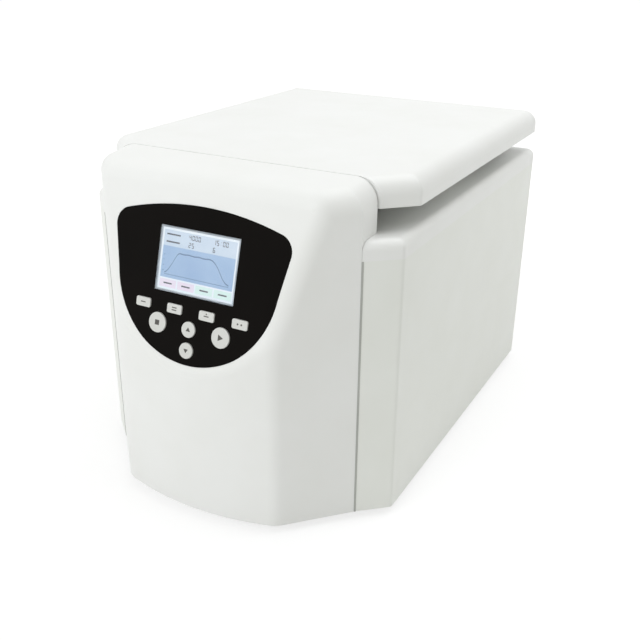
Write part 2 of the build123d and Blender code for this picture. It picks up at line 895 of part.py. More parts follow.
# Gasket on the bowl's rim
with BuildPart() as chamber_gasket:
    add(
        turned(
            (rim_radius - gasket_width, rim_top),
            (rim_radius, rim_top),
            (rim_radius, gasket_top),
            (rim_radius - gasket_width, gasket_top),
        )
    )
keep(chamber_gasket, "chamber_gasket")

# Armour ring round the bowl, with the posts that carry it
with BuildPart() as armour_ring:
    add(
        turned(
            (armour_bore_radius, armour_bottom_z),
            (armour_bore_radius + armour_wall, armour_bottom_z),
            (armour_bore_radius + armour_wall, armour_bottom_z + armour_height),
            (armour_bore_radius, armour_bottom_z + armour_height),
        )
    )
    with BuildSketch(Plane.XY.offset(tray_top)):
        with Locations((0, chamber_y)):
            with PolarLocations(armour_bore_radius + armour_wall / 2, post_count):
                Circle(post_radius)
    extrude(amount=armour_bottom_z - tray_top)
keep(armour_ring, "armour_ring")

# Rubber boot between the motor's cap and the bowl's floor
with BuildPart() as shaft_boot:
    add(
        turned(
            (boot_foot_radius - boot_wall, motor_top_z),
            (boot_foot_radius, motor_top_z),
            (boot_mouth_radius, bowl_underside),
            (boot_mouth_radius - boot_wall, bowl_underside),
        )
    )
keep(shaft_boot, "shaft_boot")

# Speed and imbalance sensor under the bowl's floor
with BuildPart() as speed_sensor:
    with BuildSketch(Plane.XY.offset(bowl_underside)):
        with Locations((sensor_x, chamber_y)):
            Rectangle(sensor_width, sensor_height)
    extrude(amount=-sensor_height)
keep(speed_sensor, "speed_sensor")

# Motor mounts and plate
motor_bolt_turn = 180 / motor_bolt_count
with BuildPart() as rubber_mounts:
    with BuildSketch(Plane.XY.offset(tray_top)):
        with Locations(*mount_places):
            Circle(mount_radius)
    extrude(amount=mount_height)
keep(rubber_mounts, "rubber_mounts")

with BuildPart() as motor_plate:
    with BuildSketch(Plane.XY.offset(motor_plate_z)):
        with Locations((0, chamber_y)):
            RectangleRounded(motor_plate_width, motor_plate_width, mount_radius)
            Circle(motor_plate_hole_radius, mode=Mode.SUBTRACT)
            with PolarLocations(motor_bolt_circle_radius, motor_bolt_count, start_angle=motor_bolt_turn):
                Circle(motor_bolt_radius + bolt_gap, mode=Mode.SUBTRACT)
    extrude(amount=motor_plate_thickness)
keep(motor_plate, "motor_plate")

# Motor: housing with a lower bearing seat, cap with an upper one
seat_bore = bearing_radius + bolt_gap
seat_radius = seat_bore + bearing_seat_wall
motor_bore = motor_radius - wall
with BuildPart() as motor_housing:
    add(
        turned(
            (shaft_hole_radius, motor_base_z),
            (motor_flange_radius, motor_base_z),
            (motor_flange_radius, motor_floor_z),
            (motor_radius, motor_floor_z),
            (motor_radius, motor_cap_z),
            (motor_bore, motor_cap_z),
            (motor_bore, motor_floor_z),
            (seat_radius, motor_floor_z),
            (seat_radius, motor_floor_z + bearing_height),
            (seat_bore, motor_floor_z + bearing_height),
            (seat_bore, motor_floor_z),
            (shaft_hole_radius, motor_floor_z),
        )
    )
    with BuildSketch(Plane.XY.offset(motor_base_z)):
        with Locations((0, chamber_y)):
            with PolarLocations(motor_bolt_circle_radius, motor_bolt_count, start_angle=motor_bolt_turn):
                Circle(motor_bolt_radius + bolt_gap)
    extrude(amount=motor_flange_thickness, mode=Mode.SUBTRACT)
keep(motor_housing, "motor_housing")

with BuildPart() as motor_cap:
    add(
        turned(
            (shaft_hole_radius, motor_top_z),
            (motor_radius, motor_top_z),
            (motor_radius, motor_cap_z),
            (seat_radius, motor_cap_z),
            (seat_radius, motor_cap_z - bearing_height),
            (seat_bore, motor_cap_z - bearing_height),
            (seat_bore, motor_cap_z),
            (shaft_hole_radius, motor_cap_z),
        )
    )
keep(motor_cap, "motor_cap")

with BuildPart() as motor_bolts:
    with BuildSketch(Plane.XY.offset(motor_floor_z)):
        with Locations((0, chamber_y)):
            with PolarLocations(motor_bolt_circle_radius, motor_bolt_count, start_angle=motor_bolt_turn):
                RegularPolygon(motor_bolt_head_radius, motor_bolt_head_sides)
    extrude(amount=motor_bolt_head_height)
    with BuildSketch(Plane.XY.offset(motor_floor_z)):
        with Locations((0, chamber_y)):
            with PolarLocations(motor_bolt_circle_radius, motor_bolt_count, start_angle=motor_bolt_turn):
                Circle(motor_bolt_radius)
    extrude(amount=motor_plate_z - motor_floor_z)
keep(motor_bolts, "motor_bolts")

with BuildPart() as motor_stator:
    add(
        turned(
            (stator_bore_radius, stator_z),
            (motor_bore - bolt_gap, stator_z),
            (motor_bore - bolt_gap, stator_z + stator_height),
            (stator_bore_radius, stator_z + stator_height),
        )
    )
keep(motor_stator, "motor_stator")

with BuildPart() as motor_bearings:
    for bearing_z in (motor_floor_z, motor_cap_z - bearing_height):
        with BuildSketch(Plane.XY.offset(bearing_z)):
            with Locations((0, chamber_y)):
                Circle(bearing_radius)
                Circle(shaft_radius + shaft_gap, mode=Mode.SUBTRACT)
        extrude(amount=bearing_height)
keep(motor_bearings, "motor_bearings")

# Spindle: shaft with its laminated core, the collar that drives the rotor, the rotor and its nut
with BuildPart() as motor_shaft:
    add(
        turned(
            (0, motor_floor_z),
            (shaft_radius, motor_floor_z),
            (shaft_radius, rotor_base_z - collar_seat),
            (spigot_radius, rotor_base_z - collar_seat),
            (spigot_radius, spindle_top_z),
            (0, spindle_top_z),
        )
    )
keep(motor_shaft, "motor_shaft")

with BuildPart() as motor_core:
    add(
        turned(
            (shaft_radius + bolt_gap, core_z),
            (stator_bore_radius - core_gap, core_z),
            (stator_bore_radius - core_gap, core_z + core_height),
            (shaft_radius + bolt_gap, core_z + core_height),
        )
    )
keep(motor_core, "motor_core")

with BuildPart() as drive_collar:
    add(
        turned(
            (shaft_radius + bolt_gap, collar_z),
            (collar_foot_radius, collar_z),
            (collar_radius, rotor_base_z - collar_seat),
            (collar_radius, rotor_base_z),
            (spigot_radius + bolt_gap, rotor_base_z),
            (spigot_radius + bolt_gap, rotor_base_z - collar_seat),
            (shaft_radius + bolt_gap, rotor_base_z - collar_seat),
        )
    )
keep(drive_collar, "drive_collar")

with BuildPart() as rotor:
    belly_z = rotor_base_z + rotor_belly_rise
    add(
        turned(
            (spigot_radius + bolt_gap, rotor_base_z),
            (rotor_foot_radius, rotor_base_z),
            (rotor_heel[0], rotor_base_z + rotor_heel[1]),
            (rotor_radius, belly_z),
            (rotor_radius, belly_z + rotor_belly_height),
            (rotor_rim_radius, rotor_top_z),
            (dish_edge_radius, rotor_top_z),
            (hub_radius, hub_z),
            (spigot_radius + bolt_gap, hub_z),
        )
    )
    for index in range(pocket_count):
        bearing_angle = radians(index * 360 / pocket_count)
        outward = Vector(cos(bearing_angle), sin(bearing_angle), 0)
        mouth = Vector(0, chamber_y, pocket_mouth_z) + outward * pocket_mouth_radius
        down = outward * sin(radians(pocket_tilt)) - Vector(0, 0, cos(radians(pocket_tilt)))
        with BuildSketch(Plane(origin=mouth - down * pocket_radius, z_dir=down)):
            Circle(pocket_radius)
        extrude(amount=pocket_depth + pocket_radius, mode=Mode.SUBTRACT)
keep(rotor, "rotor")

with BuildPart() as rotor_nut:
    with BuildSketch(Plane.XY.offset(hub_z)):
        with Locations((0, chamber_y)):
            Circle(nut_radius)
            with PolarLocations(nut_radius + nut_flute_radius / 2, nut_flute_count):
                Circle(nut_flute_radius, mode=Mode.SUBTRACT)
    extrude(amount=nut_height)
    with BuildSketch(Plane.XY.offset(hub_z)):
        with Locations((0, chamber_y)):
            Circle(spigot_radius + bolt_gap)
    extrude(amount=nut_thread_depth, mode=Mode.SUBTRACT)
keep(rotor_nut, "rotor_nut")

# Lid shell with bosses for the liner's screws
with BuildPart() as lid_shell:
    add(capped_form(lid_plan(), lid_bottom, lid_top, lid_edge_radius, square_front=True))
    add(
        capped_form(lid_plan(wall), lid_bottom, lid_top - wall, lid_edge_radius - wall, square_front=True),
        mode=Mode.SUBTRACT,
    )
    with BuildSketch(Plane.XY.offset(lid_bottom + liner_thickness)):
        with Locations(*liner_screw_places):
            Circle(boss_radius)
    extrude(amount=lid_height - liner_thickness - wall)
    with BuildSketch(Plane.XY.offset(lid_bottom + liner_thickness)):
        with Locations(*liner_screw_places):
            Circle(screw_radius + bolt_gap)
    extrude(amount=screw_length - liner_thickness, mode=Mode.SUBTRACT)
keep(lid_shell, "lid_shell")

# Lid liner: closes the shell and presses a round land towards the gasket
with BuildPart() as lid_liner:
    with BuildSketch(Plane.XY.offset(lid_bottom)):
        add(lid_plan(wall + fit_gap))
        with Locations(*liner_screw_places):
            Circle(screw_radius + bolt_gap, mode=Mode.SUBTRACT)
    extrude(amount=liner_thickness)
    land_bottom = gasket_top + fit_gap
    land_bore = liner_boss_radius - liner_land_width
    add(
        turned(
            (0, land_bottom + liner_land_depth),
            (land_bore - liner_chamfer, land_bottom + liner_land_depth),
            (land_bore, land_bottom),
            (liner_boss_radius, land_bottom),
            (liner_boss_radius, lid_bottom),
            (0, lid_bottom),
        )
    )
    with BuildSketch(Plane.XY.offset(lid_bottom)):
        with Locations(*liner_screw_places):
            Circle(screw_head_radius + fit_gap)
    extrude(amount=land_bottom - lid_bottom, mode=Mode.SUBTRACT)
keep(lid_liner, "lid_liner")

# Pads on the deck that the lid closes onto
with BuildPart() as lid_pads:
    with BuildSketch(Plane.XY.offset(deck_top)):
        with Locations((-pad_x, pad_y), (pad_x, pad_y)):
            Circle(pad_radius)
    extrude(amount=lid_gap - fit_gap)
keep(lid_pads, "lid_pads")

# Hinge brackets on the deck, the pins in them, and the lid's arms
knuckle_half = hinge_width / 2 - hinge_ear - hinge_side_gap


def hinge_section(x):
    """A plane across a hinge at this x, centred on the pin, with its own x to the rear and its own y up."""
    return Plane(origin=(x, hinge_y, hinge_z), x_dir=(0, 1, 0), z_dir=(1, 0, 0))


with BuildPart() as hinge_brackets:
    ear_drop = hinge_z - deck_top
    for x in hinge_places:
        for ear_x in (x - hinge_width / 2, x + hinge_width / 2 - hinge_ear):
            with BuildSketch(hinge_section(ear_x)):
                Circle(knuckle_radius)
                with Locations((0, -ear_drop / 2)):
                    Rectangle(2 * knuckle_radius, ear_drop)
                Circle(hinge_pin_radius + bolt_gap, mode=Mode.SUBTRACT)
            extrude(amount=hinge_ear)
        with BuildSketch(hinge_section(x - hinge_width / 2)):
            with Locations((-(hinge_reach + hinge_base_stop) / 2, -ear_drop + hinge_plate / 2)):
                Rectangle(hinge_reach - hinge_base_stop, hinge_plate)
        extrude(amount=hinge_width)
    with BuildSketch(Plane.XY.offset(deck_top)):
        with Locations(*hinge_screw_places):
            Circle(screw_radius + bolt_gap)
    extrude(amount=hinge_plate, mode=Mode.SUBTRACT)
keep(hinge_brackets, "hinge_brackets")

with BuildPart() as hinge_pins:
    for x in hinge_places:
        with BuildSketch(hinge_section(x - hinge_width / 2 - hinge_pin_overhang)):
            Circle(hinge_pin_radius)
        extrude(amount=hinge_width + 2 * hinge_pin_overhang)
keep(hinge_pins, "hinge_pins")

with BuildPart() as lid_arms:
    for x in hinge_places:
        with BuildSketch(hinge_section(x - knuckle_half)):
            Circle(knuckle_radius)
            with Locations((0, hinge_drop / 2)):
                Rectangle(2 * knuckle_radius, hinge_drop)
            with Locations(((knuckle_radius - arm_reach) / 2, hinge_drop - arm_plate / 2)):
                Rectangle(arm_reach + knuckle_radius, arm_plate)
            Circle(hinge_pin_radius + shaft_gap, mode=Mode.SUBTRACT)
        extrude(amount=2 * knuckle_half)
keep(lid_arms, "lid_arms")

# Lid lock: striker on the lid, bolt, housing and solenoid under the deck
with BuildPart() as lid_striker:
    with BuildSketch(Plane.XY.offset(lid_bottom)):
        with Locations((0, lock_y)):
            Rectangle(striker_width, striker_thickness)
    extrude(amount=striker_bottom - lid_bottom)
    with BuildSketch(Plane.XY.offset(lid_bottom)):
        with Locations((0, lock_y - striker_thickness / 2 + striker_tab / 2)):
            Rectangle(striker_width, striker_tab)
    extrude(amount=-striker_tab_thickness)
    with BuildSketch(across_y(lock_y + striker_thickness / 2)):
        with Locations((0, lock_z)):
            Rectangle(striker_window_width, striker_window_height)
    extrude(amount=striker_thickness, mode=Mode.SUBTRACT)
keep(lid_striker, "lid_striker")

housing_front_y = lock_y + striker_thickness / 2 + lock_housing_gap
housing_back_y = housing_front_y + lock_housing_length
bolt_front_y = lock_y + striker_thickness / 2 + lock_bolt_gap
with BuildPart() as lock_housing:
    with BuildSketch(across_y(housing_back_y)):
        with Locations((0, deck_underside - lock_housing_height / 2)):
            Rectangle(lock_housing_width, lock_housing_height)
        with Locations((0, lock_z)):
            Circle(lock_bolt_radius + shaft_gap, mode=Mode.SUBTRACT)
    extrude(amount=lock_housing_length)
keep(lock_housing, "lock_housing")

with BuildPart() as lock_solenoid:
    with BuildSketch(across_y(housing_back_y + solenoid_length)):
        with Locations((0, lock_z)):
            Rectangle(solenoid_width, solenoid_height)
            Circle(lock_bolt_radius + solenoid_bore_gap, mode=Mode.SUBTRACT)
    extrude(amount=solenoid_length)
keep(lock_solenoid, "lock_solenoid")

with BuildPart() as lock_bolt:
    with BuildSketch(across_y(bolt_front_y + lock_bolt_length)):
        with Locations((0, lock_z)):
            Circle(lock_bolt_radius)
    extrude(amount=lock_bolt_length)
keep(lock_bolt, "lock_bolt")

# Fan frame with a spider that carries the impeller's pin
fan_front_y = panel_front_y - fan_depth
with BuildPart() as fan_frame:
    with BuildSketch(across_y(panel_front_y)):
        with Locations((fan_x, fan_z)):
            RectangleRounded(fan_size, fan_size, bend_radius)
            Circle(fan_bore_radius, mode=Mode.SUBTRACT)
            with GridLocations(fan_screw_pitch, fan_screw_pitch, 2, 2):
                Circle(screw_radius + bolt_gap, mode=Mode.SUBTRACT)
    extrude(amount=fan_depth)
    with BuildSketch(across_y(fan_front_y + fan_spider)):
        with Locations((fan_x, fan_z)):
            Circle(fan_hub_radius)
            Rectangle(2 * fan_bore_radius + sheet, fan_spider_width)
            Rectangle(fan_spider_width, 2 * fan_bore_radius + sheet)
    extrude(amount=fan_spider)
    with BuildSketch(across_y(fan_front_y + fan_spider)):
        with Locations((fan_x, fan_z)):
            Circle(fan_pin_radius)
    extrude(amount=-fan_pin_length)
keep(fan_frame, "fan_frame")

# Fan impeller
impeller_front_y = fan_front_y + fan_spider + core_gap
impeller_rear_y = panel_front_y - core_gap
with BuildPart() as fan_impeller:
    with BuildSketch(across_y(impeller_rear_y)):
        with Locations((fan_x, fan_z)):
            Circle(fan_hub_radius)
    extrude(amount=impeller_rear_y - impeller_front_y)
    blade_span = fan_bore_radius - fan_tip_gap
    blade_chord = (impeller_rear_y - impeller_front_y) * cos(radians(fan_blade_pitch))
    fan_centre = Vector(fan_x, (impeller_front_y + impeller_rear_y) / 2, fan_z)
    for index in range(fan_blade_count):
        turn = radians(index * 360 / fan_blade_count)
        along = Vector(cos(turn), 0, sin(turn))
        across = Vector(-sin(turn), 0, cos(turn))
        lean = Vector(0, cos(radians(fan_blade_pitch)), 0) + across * sin(radians(fan_blade_pitch))
        with BuildSketch(Plane(origin=fan_centre + along * fan_hub_radius / 2, x_dir=lean, z_dir=along)):
            Rectangle(blade_chord, fan_blade_thickness)
        extrude(amount=blade_span - fan_hub_radius / 2)
    with BuildSketch(across_y(impeller_rear_y)):
        with Locations((fan_x, fan_z)):
            Circle(blade_span)
    extrude(amount=impeller_rear_y - impeller_front_y, mode=Mode.INTERSECT)
    with BuildSketch(across_y(fan_front_y + fan_spider + fan_pin_length + fit_gap)):
        with Locations((fan_x, fan_z)):
            Circle(fan_pin_radius + shaft_gap)
    extrude(amount=fan_pin_length, mode=Mode.SUBTRACT)
keep(fan_impeller, "fan_impeller")

# Finger guard over the fan, outside the rear panel
guard_reach = fan_screw_pitch * sqrt(2)
with BuildPart() as fan_guard:
    with BuildSketch(across_y(panel_back_y + guard_thickness)):
        with Locations((fan_x, fan_z)):
            for index in range(guard_ring_count):
                ring = guard_ring_radius + index * guard_ring_pitch
                Circle(ring)
                Circle(ring - guard_wire, mode=Mode.SUBTRACT)
                for spoke_turn in (45, -45):
                    Rectangle(guard_reach, guard_wire, rotation=spoke_turn)
            with GridLocations(fan_screw_pitch, fan_screw_pitch, 2, 2):
                Circle(screw_head_radius)
                Circle(screw_radius + bolt_gap, mode=Mode.SUBTRACT)
    extrude(amount=guard_thickness)
keep(fan_guard, "fan_guard")

# Mains inlet: a flanged socket with three blades in its recess
with BuildPart() as power_inlet:
    with BuildSketch(across_y(panel_back_y + sheet)):
        with Locations((inlet_x, inlet_z)):
            RectangleRounded(inlet_flange_width, inlet_flange_height, bend_radius)
            with GridLocations(inlet_screw_spacing, 1, 2, 1):
                Circle(screw_radius + bolt_gap, mode=Mode.SUBTRACT)
    extrude(amount=sheet)
    with BuildSketch(across_y(panel_back_y)):
        with Locations((inlet_x, inlet_z)):
            Rectangle(inlet_body_width, inlet_body_height)
    extrude(amount=inlet_depth - sheet)
    with BuildSketch(across_y(panel_back_y + sheet)):
        with Locations((inlet_x, inlet_z)):
            Rectangle(inlet_recess_width, inlet_recess_height)
    extrude(amount=inlet_recess_depth, mode=Mode.SUBTRACT)
keep(power_inlet, "power_inlet")

recess_floor_y = panel_back_y + sheet - inlet_recess_depth
with BuildPart() as inlet_pins:
    with BuildSketch(across_y(recess_floor_y + inlet_pin_length)):
        with Locations(
            (inlet_x - inlet_pin_pitch, inlet_z - inlet_pin_rise),
            (inlet_x, inlet_z + inlet_pin_rise),
            (inlet_x + inlet_pin_pitch, inlet_z - inlet_pin_rise),
        ):
            Rectangle(inlet_pin_width, inlet_pin_height)
    extrude(amount=inlet_pin_length)
keep(inlet_pins, "inlet_pins")

# Rocker switch: frame and rocker
rocker_pivot_y = panel_back_y - rocker_pivot_drop
rocker_plane = Plane(origin=(rocker_x, rocker_pivot_y, inlet_z), x_dir=(0, 1, 0), z_dir=(1, 0, 0))
with BuildPart() as rocker_frame:
    with BuildSketch(across_y(panel_back_y + sheet)):
        with Locations((rocker_x, inlet_z)):
            RectangleRounded(rocker_frame_width, rocker_frame_height, sheet)
    extrude(amount=sheet)
    with BuildSketch(across_y(panel_back_y)):
        with Locations((rocker_x, inlet_z)):
            Rectangle(rocker_body_width, rocker_body_height)
    extrude(amount=rocker_body_depth)
    with BuildSketch(across_y(panel_back_y + sheet)):
        with Locations((rocker_x, inlet_z)):
            Rectangle(rocker_cavity_width, rocker_cavity_height)
    extrude(amount=rocker_body_depth, mode=Mode.SUBTRACT)
    with BuildSketch(rocker_plane):
        Circle(rocker_pin_radius + shaft_gap)
    extrude(amount=rocker_body_width / 2, both=True, mode=Mode.SUBTRACT)
keep(rocker_frame, "rocker_frame")

with BuildPart() as power_rocker:
    with BuildSketch(rocker_plane):
        RectangleRounded(rocker_depth, rocker_height, rocker_edge_radius, rotation=rocker_tilt)
    extrude(amount=rocker_width / 2, both=True)
    with BuildSketch(rocker_plane):
        Circle(rocker_pin_radius)
    extrude(amount=rocker_body_width / 2 - rocker_pin_end_gap, both=True)
keep(power_rocker, "power_rocker")

# Rear bumpers keep the vents off the wall
with BuildPart() as rear_bumpers:
    with BuildSketch(across_y(panel_back_y + bumper_height)):
        with Locations(*[(x, z) for x in (-bumper_x, bumper_x) for z in (bumper_low_z, bumper_high_z)]):
            Circle(bumper_radius)
    extrude(amount=bumper_height)
keep(rear_bumpers, "rear_bumpers")

# Control board on its bracket behind the front moulding
with BuildPart() as board_bracket:
    with BuildSketch(Plane.XY.offset(tray_top)):
        with Locations((0, bracket_y + sheet / 2)):
            Rectangle(bracket_width, sheet)
    extrude(amount=bracket_height)
    with BuildSketch(Plane.XY.offset(tray_top)):
        with Locations((0, bracket_y + bracket_foot / 2)):
            Rectangle(bracket_width, bracket_foot)
    extrude(amount=sheet)
keep(board_bracket, "board_bracket")

with BuildPart() as control_board:
    board_middle_z = tray_top + control_board_rise + control_board_height / 2
    board_back_y = bracket_y - control_board_standoff
    with BuildSketch(across_y(bracket_y)):
        with Locations((0, board_middle_z)):
            with GridLocations(
                control_board_width - 2 * standoff_inset, control_board_height - 2 * standoff_inset, 2, 2
            ):
                Circle(standoff_radius)
    extrude(amount=control_board_standoff)
    with BuildSketch(across_y(board_back_y)):
        with Locations((0, board_middle_z)):
            Rectangle(control_board_width, control_board_height)
    extrude(amount=board_thickness)
    with BuildSketch(across_y(board_back_y)):
        with Locations((0, board_middle_z)):
            with GridLocations(capacitor_pitch, capacitor_pitch, capacitor_columns, capacitor_rows):
                Circle(capacitor_radius)
    extrude(amount=board_thickness + capacitor_height)
keep(control_board, "control_board")

# Motor drive: finned heat sink with a board over it
with BuildPart() as motor_drive:
    with BuildSketch(Plane.XY.offset(tray_top)):
        with Locations((sink_x, sink_y)):
            Rectangle(sink_width, sink_length)
    extrude(amount=sink_base)
    with BuildSketch(Plane.XY.offset(tray_top)):
        with Locations((sink_x, sink_y)):
            with GridLocations((sink_width - fin_thickness) / (fin_count - 1), 1, fin_count, 1):
                Rectangle(fin_thickness, sink_length)
    extrude(amount=sink_height)
    sink_top = tray_top + sink_height
    board_z = sink_top + drive_board_standoff
    with BuildSketch(Plane.XY.offset(sink_top)):
        with Locations((sink_x, sink_y)):
            with GridLocations(sink_width - fin_thickness, sink_length - 2 * standoff_inset, 2, 2):
                Circle(fin_thickness / 2)
    extrude(amount=drive_board_standoff)
    with BuildSketch(Plane.XY.offset(board_z)):
        with Locations((sink_x, sink_y)):
            Rectangle(sink_width + drive_board_margin, sink_length)
    extrude(amount=board_thickness)
    with BuildSketch(Plane.XY.offset(board_z)):
        with Locations((sink_x, sink_y)):
            pitch = drive_capacitor_pitch
            with GridLocations(pitch, pitch, capacitor_columns, capacitor_rows):
                Circle(drive_capacitor_radius)
    extrude(amount=drive_capacitor_height)
keep(motor_drive, "motor_drive")

# Screws of the cabinet: alike, so they are one group
inlet_screw_places = [(inlet_x + side * inlet_screw_spacing / 2, inlet_z) for side in (-1, 1)]
fan_corners = (-fan_screw_pitch / 2, fan_screw_pitch / 2)
fan_screw_places = [(fan_x + x, fan_z + z) for x in fan_corners for z in fan_corners]
upright = across_y(0)
with BuildPart() as cabinet_screws:
    add(screws(foot_places, foot_recess, head_down=True))
    add(screws(cover_screw_places, body_bottom, head_down=True))
    add(screws(cover_screw_places, side_top - sheet, head_down=True))
    add(screws(hinge_screw_places, deck_top + hinge_plate))
    add(screws(rear_screw_places, -rear_y, head_down=True, plane=upright))
    add(screws(inlet_screw_places, -panel_back_y - sheet, head_down=True, plane=upright))
    add(screws(fan_screw_places, -panel_back_y - guard_thickness, head_down=True, plane=upright))
keep(cabinet_screws, "cabinet_screws")

# Screws that hold the liner to the lid's bosses
with BuildPart() as liner_screws:
    add(screws(liner_screw_places, lid_bottom, head_down=True))
keep(liner_screws, "liner_screws")
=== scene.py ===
import json
from math import cos, pi, radians, sin

import bmesh
import bpy
from mathutils import Matrix, Vector


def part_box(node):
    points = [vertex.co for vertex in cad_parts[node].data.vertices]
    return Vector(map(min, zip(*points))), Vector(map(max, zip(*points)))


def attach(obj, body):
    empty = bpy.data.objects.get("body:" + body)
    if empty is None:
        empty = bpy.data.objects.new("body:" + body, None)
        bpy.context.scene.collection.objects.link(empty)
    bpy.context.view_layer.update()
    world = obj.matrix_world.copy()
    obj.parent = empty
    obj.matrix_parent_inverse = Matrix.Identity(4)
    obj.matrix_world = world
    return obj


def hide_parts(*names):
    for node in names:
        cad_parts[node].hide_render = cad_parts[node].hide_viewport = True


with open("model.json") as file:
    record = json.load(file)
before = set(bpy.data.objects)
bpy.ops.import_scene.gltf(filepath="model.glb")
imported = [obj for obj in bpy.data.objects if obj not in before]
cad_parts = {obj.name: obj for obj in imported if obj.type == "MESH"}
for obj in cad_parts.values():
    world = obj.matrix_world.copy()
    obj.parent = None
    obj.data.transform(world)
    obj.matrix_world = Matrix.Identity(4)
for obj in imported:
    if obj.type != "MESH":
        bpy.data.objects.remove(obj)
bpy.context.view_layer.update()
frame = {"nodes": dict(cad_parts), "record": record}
cad_nodes = frame["nodes"]

# Benchtop centrifuge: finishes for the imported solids, and the fine pieces that ride on them.
# All sizes are metres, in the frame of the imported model.

MM = 0.001

# Camera
camera_place = Vector((0.49324, -0.91465, 0.59244))
camera_azimuth = radians(28.104)
camera_elevation = radians(24.013)
camera_roll = radians(0.648)
camera_lens = 47.81
camera_sensor = 36.0
picture_height = 640
axis_above_middle = 2

# Light
ambient_strength = 0.47
ambient_colour = (0.99, 1.0, 0.95, 1.0)
key_place = (-1.05, -2.6, 1.75)
key_size = 2.2
key_power = 45.0
top_place = (0.4, 0.7, 2.7)
top_size = 2.4
top_power = 32.0
fill_place = (1.3, 1.2, 1.15)
fill_size = 0.9
fill_power = 4.6
lamp_colour = (0.945, 0.965, 1.0)
lamp_target = (0.0, 0.0, 0.2)
floor_radius = 30.0
floor_share = 0.4
floor_glow_near = 0.72
floor_glow_far = 0.86
floor_fade = (0.5, 1.4)

# Keypad stack
panel_lean = radians(16)
bezel_height = 0.6 * MM
ink_thickness = 0.04 * MM
screen_margin = 1.0 * MM

# Screen picture
screen_corner = 1.2 * MM
screen_border = 3.2 * MM
head_share = 0.3
foot_share = 0.2
tile_count = 4
tile_gap = 1.6 * MM
tile_mark_height = 1.5 * MM
figure_rows = (("4000", "15:00"), ("25", "6"))
figure_starts = (-12 * MM, 18 * MM)
figure_height = 5.2 * MM
first_row_drop = 7.6 * MM
row_pitch = 7.8 * MM
row_mark = (17 * MM, 1.6 * MM)
row_mark_inset = 15 * MM
curve_inset = 8 * MM
curve_lift = 5 * MM
curve_headroom = 6 * MM
curve_width = 1.2 * MM
curve_steps = 60
curve_climb_share = 0.22
curve_fall_share = 0.3
curve_ripple = 0.25 * MM
curve_ripple_turn = 40
scale_mark = (1.6 * MM, 0.5 * MM)
scale_mark_count = 4
scale_mark_start = 0.4
scale_mark_offset = 2 * MM
axis_line_width = 0.5 * MM
axis_line_drop = 1.5 * MM

# Segment numerals, in half heights of the numeral
numeral_pitch = 1.45
numeral_dot = 0.2

# Chamber and rotor
gasket_width = 9 * MM
pocket_count = 6
pocket_tilt = radians(28)
rotor_radius = 86 * MM
rotor_rim_width = 4 * MM
numeral_radius = 75.5 * MM
numeral_height = 6.5 * MM

# Cross-recess screws
screw_head_radius = 4 * MM
screw_head_height = 2.4 * MM
screw_shank_radius = 2 * MM
screw_length = 14 * MM
screw_point = 1 * MM
recess_width = 0.75 * MM
recess_reach = 2.1 * MM
recess_depth = 1.3 * MM
cutter_height = 2 * MM
screw_end_share = 0.1
screw_turn = radians(37)

# Rear panel
guard_wire_radius = 0.9 * MM
guard_rings = (12 * MM, 21 * MM, 30 * MM, 39 * MM)
guard_screw_pitch = 71.5 * MM
guard_eye_radius = 3.6 * MM
guard_ring_steps = 72
guard_eye_steps = 32
guard_spoke_drop = 1.6 * guard_wire_radius
rocker_lean = radians(8)
rocker_mark_rise = 5.4 * MM
on_mark = (1.1 * MM, 4.2 * MM)
off_mark_radii = (1.5 * MM, 2.2 * MM)

# Joints of the casing: grey beads, whose grey is painted shade for the dark gaps of the joints
corner_width = 33 * MM
corner_depth = 28.5 * MM
shade_bead_gap = 0.02 * MM
shade_bead_proud = 0.5 * MM
shade_bead_lap = 1.4 * MM
shade_bead_depth = 4 * MM

# Mesh limits
weld_distance = 1e-7
island_weld_distance = 1e-6
sharp_edge = radians(35)

# Range that most values of a noise texture lie in
noise_low = 0.3
noise_high = 0.7


# Colours and shader nodes


def linear(value):
    """One screen value from 0 to 255 as the linear value that shaders take."""
    share = value / 255
    return share / 12.92 if share <= 0.04045 else ((share + 0.055) / 1.055) ** 2.4


def tone(red, green, blue):
    """A screen colour as a linear one."""
    return (linear(red), linear(green), linear(blue), 1.0)


def add_node(tree, kind, inputs=None, **settings):
    """A shader node with its settings. Each input is a value or another node's socket."""
    made = tree.nodes.new("ShaderNode" + kind)
    for name, value in settings.items():
        setattr(made, name, value)
    for name, value in (inputs or {}).items():
        if isinstance(value, bpy.types.NodeSocket):
            tree.links.new(value, made.inputs[name])
        else:
            made.inputs[name].default_value = value
    return made


def own_place(tree):
    """The object's own coordinates, in metres."""
    return add_node(tree, "TexCoord").outputs["Object"]


def ring_place(tree, centre):
    """Radius and height round an upright axis, so that a pattern over them runs in rings."""
    place = own_place(tree)
    offset = add_node(tree, "VectorMath", {0: place, 1: centre}, operation="SUBTRACT").outputs[0]
    flat = add_node(tree, "VectorMath", {0: offset, 1: (1, 1, 0)}, operation="MULTIPLY").outputs[0]
    radius = add_node(tree, "VectorMath", {0: flat}, operation="LENGTH").outputs["Value"]
    height = add_node(tree, "SeparateXYZ", {0: place}).outputs["Z"]
    return add_node(tree, "CombineXYZ", {"X": radius, "Z": height}).outputs[0]


def noise(tree, place, scale, detail=3.0, stretch=(1, 1, 1)):
    """Fractal noise with this many features to the metre."""
    stretched = add_node(tree, "Mapping", {"Vector": place, "Scale": stretch}).outputs[0]
    return add_node(tree, "TexNoise", {"Vector": stretched, "Scale": scale, "Detail": detail}).outputs[0]


def number_between(tree, value, low, high):
    """A noise value as a number from low to high."""
    limits = {"From Min": noise_low, "From Max": noise_high, "To Min": low, "To Max": high}
    return add_node(tree, "MapRange", {"Value": value, **limits}).outputs[0]


